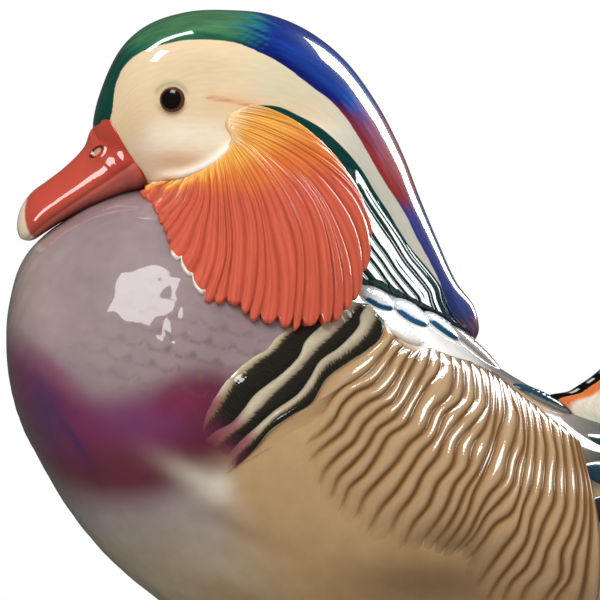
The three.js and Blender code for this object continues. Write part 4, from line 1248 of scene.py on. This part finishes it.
def sail_piece(side, material):
    """A sail feather: thin rings from the wing to its tip, leaning a little outwards, with its
    barbs as grooves that slant up from the rear edge."""
    shares = ring_shares(120)
    angles = ring_angles(100)
    points = loft(SAIL_RIBS, shares, angles)
    foot = SAIL_RIBS[1][1]
    y = points[..., 1]
    z = points[..., 2] - foot
    leaning_y = y * np.cos(SAIL_FLARE) + z * np.sin(SAIL_FLARE) + SAIL_APART
    leaning_z = z * np.cos(SAIL_FLARE) - y * np.sin(SAIL_FLARE) + foot
    front = np.cos(angles)[None, :]
    top, bottom = rib_lines(SAIL_RIBS, shares)
    breadth = np.hypot(top[:, 0] - bottom[:, 0], top[:, 2] - bottom[:, 2])[:, None]
    from_front = (1 - front) / 2 * breadth
    barb = np.abs(np.sin(0.55 * (points[..., 2] * 1.2 + from_front * 0.8)))
    inner = ramp(np.abs(np.sin(angles)), 0.15, 0.6)[None, :]
    leaning_y = leaning_y - 0.16 * np.sign(y) * barb * inner
    points = np.stack([points[..., 0], leaning_y, leaning_z], axis=-1)
    orange = look(222, 120, 62)
    paint = painted(np.broadcast_to(orange, points.shape), look(186, 84, 46), ramp(points[..., 2], 70, 104))
    paint = painted(paint, look(236, 226, 204), ramp(from_front, 5.0, 7.0) * ramp(points[..., 2], 74, 64))
    paint = painted(paint, look(240, 230, 212), ramp(breadth - from_front, 2.6, 1.4) * 0.7)
    edge = 2.6 - from_front
    dash = (np.sin(points[..., 2] * 2.6) > 0.3) * ramp(from_front, 0.3, 0.5) * ramp(from_front, 1.1, 0.9)
    edging = painted(np.broadcast_to(look(14, 16, 16), points.shape), look(228, 226, 220), 0.85 * dash)
    up = points[..., 2]
    grain = np.stack([up * 0.8 - from_front, up + from_front * 0.8, 0 * barb], axis=-1)
    values = {"paint": paint, "edge": edge + 0 * barb, "edging": edging, "grain": grain}
    first = SAIL_RIBS[0]
    last = SAIL_RIBS[-1]
    start = np.array([first[0], SAIL_APART + (first[1] - foot) * SAIL_FLARE, first[1]])
    end = np.array([last[0], SAIL_APART + (last[1] - foot) * SAIL_FLARE, last[1]])
    name = "sail_right" if side > 0 else "sail_left"
    start = both_sides(start, side)
    end = both_sides(end, side)
    return round_piece(name, both_sides(points, side), start, end, values, material)


# Stage


def soft_box(name, aim, direction, distance, width, height, power, kind="paint", roll=0.0):
    """A soft light at a distance in a direction from the place that it is aimed at. It lights the
    paint and isn't mirrored in the glaze, or it is only mirrored. Its width is level unless it is
    rolled."""
    light = bpy.data.lights.new(name, "AREA")
    light.shape = "RECTANGLE"
    light.size = width
    light.size_y = height
    light.energy = power
    lamp = bpy.data.objects.new(name, light)
    bpy.context.scene.collection.objects.link(lamp)
    way = Vector(direction).normalized()
    lamp.location = Vector(aim) + way * distance
    level = Vector((0.0, 0.0, 1.0)).cross(way).normalized()
    rise = way.cross(level)
    level, rise = np.cos(roll) * level + np.sin(roll) * rise, np.cos(roll) * rise - np.sin(roll) * level
    lamp.rotation_euler = Matrix((level, rise, way)).transposed().to_euler()
    lamp.visible_diffuse = kind == "paint"
    lamp.visible_glossy = kind == "gloss"
    return lamp


def studio_world():
    """A white surround for the camera, and a dimmer one for the light that falls on the bird."""
    world = bpy.data.worlds.new("studio")
    bpy.context.scene.world = world
    world.use_nodes = True
    tree = world.node_tree
    tree.nodes.clear()
    seen = add(tree, "Background", {}, {"Color": (1.0, 1.0, 1.0, 1.0), "Strength": 1.0})
    lit = add(tree, "Background", {}, {"Color": (0.95, 0.97, 1.0, 1.0), "Strength": 0.4})
    mirrored = add(tree, "Background", {}, {"Color": (0.93, 1.0, 0.95, 1.0), "Strength": 0.08})
    path = add(tree, "LightPath", {}, {})
    glossy = path.outputs["Is Glossy Ray"]
    camera = path.outputs["Is Camera Ray"]
    around = add(tree, "MixShader", {}, {0: glossy, 1: lit.outputs[0], 2: mirrored.outputs[0]})
    mixed = add(tree, "MixShader", {}, {0: camera, 1: around.outputs[0], 2: seen.outputs[0]})
    output = add(tree, "OutputWorld", {}, {})
    tree.links.new(mixed.outputs[0], output.inputs[0])


def floor_piece():
    """A round pale floor."""
    material = bpy.data.materials.new("pale_floor")
    material.use_nodes = True
    shader = material.node_tree.nodes["Principled BSDF"]
    tree = material.node_tree
    colour = tinted(tree, (0.62, 0.62, 0.62, 1.0), cloud(tree, 30.0), 0.02)
    tree.links.new(colour, shader.inputs["Base Color"])
    shader.inputs["Roughness"].default_value = 0.7
    angles = ring_angles(128)
    mesh = bpy.data.meshes.new("floor")
    rim = [(0.6 * np.cos(a), 0.6 * np.sin(a), 0.0) for a in angles]
    mesh.from_pydata(rim, [], [list(range(128))])
    mesh.materials.append(material)
    floor = bpy.data.objects.new("floor", mesh)
    bpy.context.scene.collection.objects.link(floor)
    floor.visible_glossy = False


def studio_camera():
    """A long lens level with the bird's left side, framed as in the photograph."""
    camera = bpy.data.cameras.new("camera")
    camera.lens = 1000.0
    camera.sensor_width = 36.0
    eye = bpy.data.objects.new("camera", camera)
    bpy.context.scene.collection.objects.link(eye)
    eye.location = (-0.02976, -4.0, 0.0852)
    eye.rotation_euler = (np.pi / 2, 0.0, 0.0)
    bpy.context.scene.camera = eye


plumage = plumage_paint()
body = body_piece(plumage)
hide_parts("duck")
head_piece(head_paint())
neck_piece(plumage)
bill_piece(bill_paint())
fan_material = fan_paint()
rows_material = rows_paint()
eye_material = eye_paint()
nape_material = feather_paint("dark_nape")
lobe_material = feather_paint("teal_edged_feather")
quill_material = feather_paint("dark_quill")
sail_material = feather_paint("orange_sail")
# The near-white of lobes 1 to 3 and 6 stands in for the glaze's glare over the dark back feathers: painted
# reflection.
LOBE_COLOURS = [
    ((206, 208, 210), (226, 230, 232), (24, 74, 112)), ((206, 212, 214), (214, 222, 226), (26, 82, 120)),
    ((200, 204, 206), (206, 212, 216), (22, 76, 108)), ((160, 154, 152), (150, 144, 142), (128, 122, 122)),
    ((40, 66, 80), (10, 42, 56), (120, 116, 112)), ((240, 238, 234), (232, 228, 222), (216, 206, 194)),
]
QUILL_COLOURS = [
    ((30, 50, 60), (26, 30, 36), (212, 212, 206)), ((28, 54, 66), (24, 28, 34), (212, 212, 206)),
    ((40, 44, 46), (24, 26, 30), (206, 206, 200)),
]
for side in (1.0, -1.0):
    eye_piece(side, eye_material)
    fan_piece(side, fan_material)
    nape_piece(side, nape_material)
    rows_piece(side, rows_material)
    sail_piece(side, sail_material)
    for number, (shape, colours) in enumerate(zip(LOBES, LOBE_COLOURS), 1):
        feather_piece(f"lobe_{number}", side, shape, LOBE_THICKNESS, colours, lobe_material)
    for number, (shape, colours) in enumerate(zip(QUILLS, QUILL_COLOURS), 1):
        feather_piece(f"quill_{number}", side, shape, QUILL_THICKNESS, colours, quill_material)


def shine(lamp, name, starts):
    """Let a lamp show only in the glaze of the pieces whose names start with one of some words,
    by a collection of them."""
    group = bpy.data.collections.new(name)
    for piece in list(bpy.context.scene.objects):
        if piece.name.startswith(starts):
            group.objects.link(piece)
    lamp.light_linking.receiver_collection = group


studio_camera()
studio_world()
floor_piece()
bpy.context.scene.view_settings.view_transform = "Standard"
bpy.context.scene.view_settings.look = "None"
# Places that the lamps are aimed at
BIRD = (-0.03, 0.0, 0.085)
BILL = (-0.08, -0.01, 0.115)
CAP = (-0.06, -0.01, 0.145)
FACE = (-0.064, -0.015, 0.142)
FAN = (-0.03, -0.03, 0.09)
NAPE = (-0.01, -0.01, 0.095)
MANTLE = (0.02, -0.03, 0.06)
FLANK = (0.025, -0.03, 0.04)
BAR = (-0.04, -0.045, 0.06)
soft_box("window", BIRD, (-0.24, -0.53, 0.79), 1.1, 0.7, 0.75, 9.5)
soft_box("right_soft", BIRD, (0.7, 0.1, 0.8), 1.2, 1.0, 1.0, 5.3)
soft_box("front_fill", BIRD, (0.1, -1.0, 0.35), 1.6, 1.2, 1.2, 4.8)
# Lamps for the glaze: name, place aimed at, direction, distance, width, height, power, roll in
# radians, name of the group, and what its pieces' names start with
GLAZE_LAMPS = [
    ("window_gloss", BIRD, (-0.26, -0.53, 0.79), 1.09, 0.42, 0.46, 4.2, 0.0,
     "breast_glaze", ("body", "eye", "lobe", "quill")),
    ("bill_gloss", BILL, (-0.68, -0.62, 0.4), 0.8, 0.72, 0.27, 6.6, 0.98, "bill_glaze", ("bill",)),
    ("cap_gloss", CAP, (-0.42, -0.05, 0.9), 1.0, 0.1, 0.5, 2.6, 0.0, "cap_glaze", ("head",)),
    ("face_gloss", FACE, (-0.54, -0.35, 0.765), 1.0, 0.13, 0.22, 1.3, 0.0, "face_glaze", ("head",)),
    ("right_gloss", BIRD, (0.72, 0.46, 0.52), 1.0, 0.42, 0.74, 18.0, 0.0,
     "back_glaze", ("head", "fan", "lobe", "quill", "sail")),
    ("fan_gloss", FAN, (-0.8, -0.58, 0.12), 1.0, 0.2, 0.4, 3.4, 0.0, "fan_glaze", ("fan",)),
    ("nape_gloss", NAPE, (0.81, -0.44, 0.38), 0.8, 0.46, 0.5, 15.0, 0.0, "nape_glaze", ("nape",)),
    ("tail_gloss", MANTLE, (0.16, 0.5, 0.85), 0.7, 0.46, 0.4, 10.0, 0.0,
     "flank_glaze", ("body", "flank", "lobe_1", "lobe_2", "lobe_3", "quill")),
    ("low_glint", FLANK, (0.5, -0.36, 0.79), 0.7, 0.26, 0.2, 2.6, 0.0, "low_glaze", ("flank",)),
    ("bar_glint", BAR, (-0.17, -0.66, 0.73), 0.9, 0.09, 0.1, 0.32, 0.0, "bar_glaze", ("bars",)),
]
for name, aim, direction, distance, width, height, power, roll, group, starts in GLAZE_LAMPS:
    lamp = soft_box(name, aim, direction, distance, width, height, power, "gloss", roll)
    shine(lamp, group, starts)
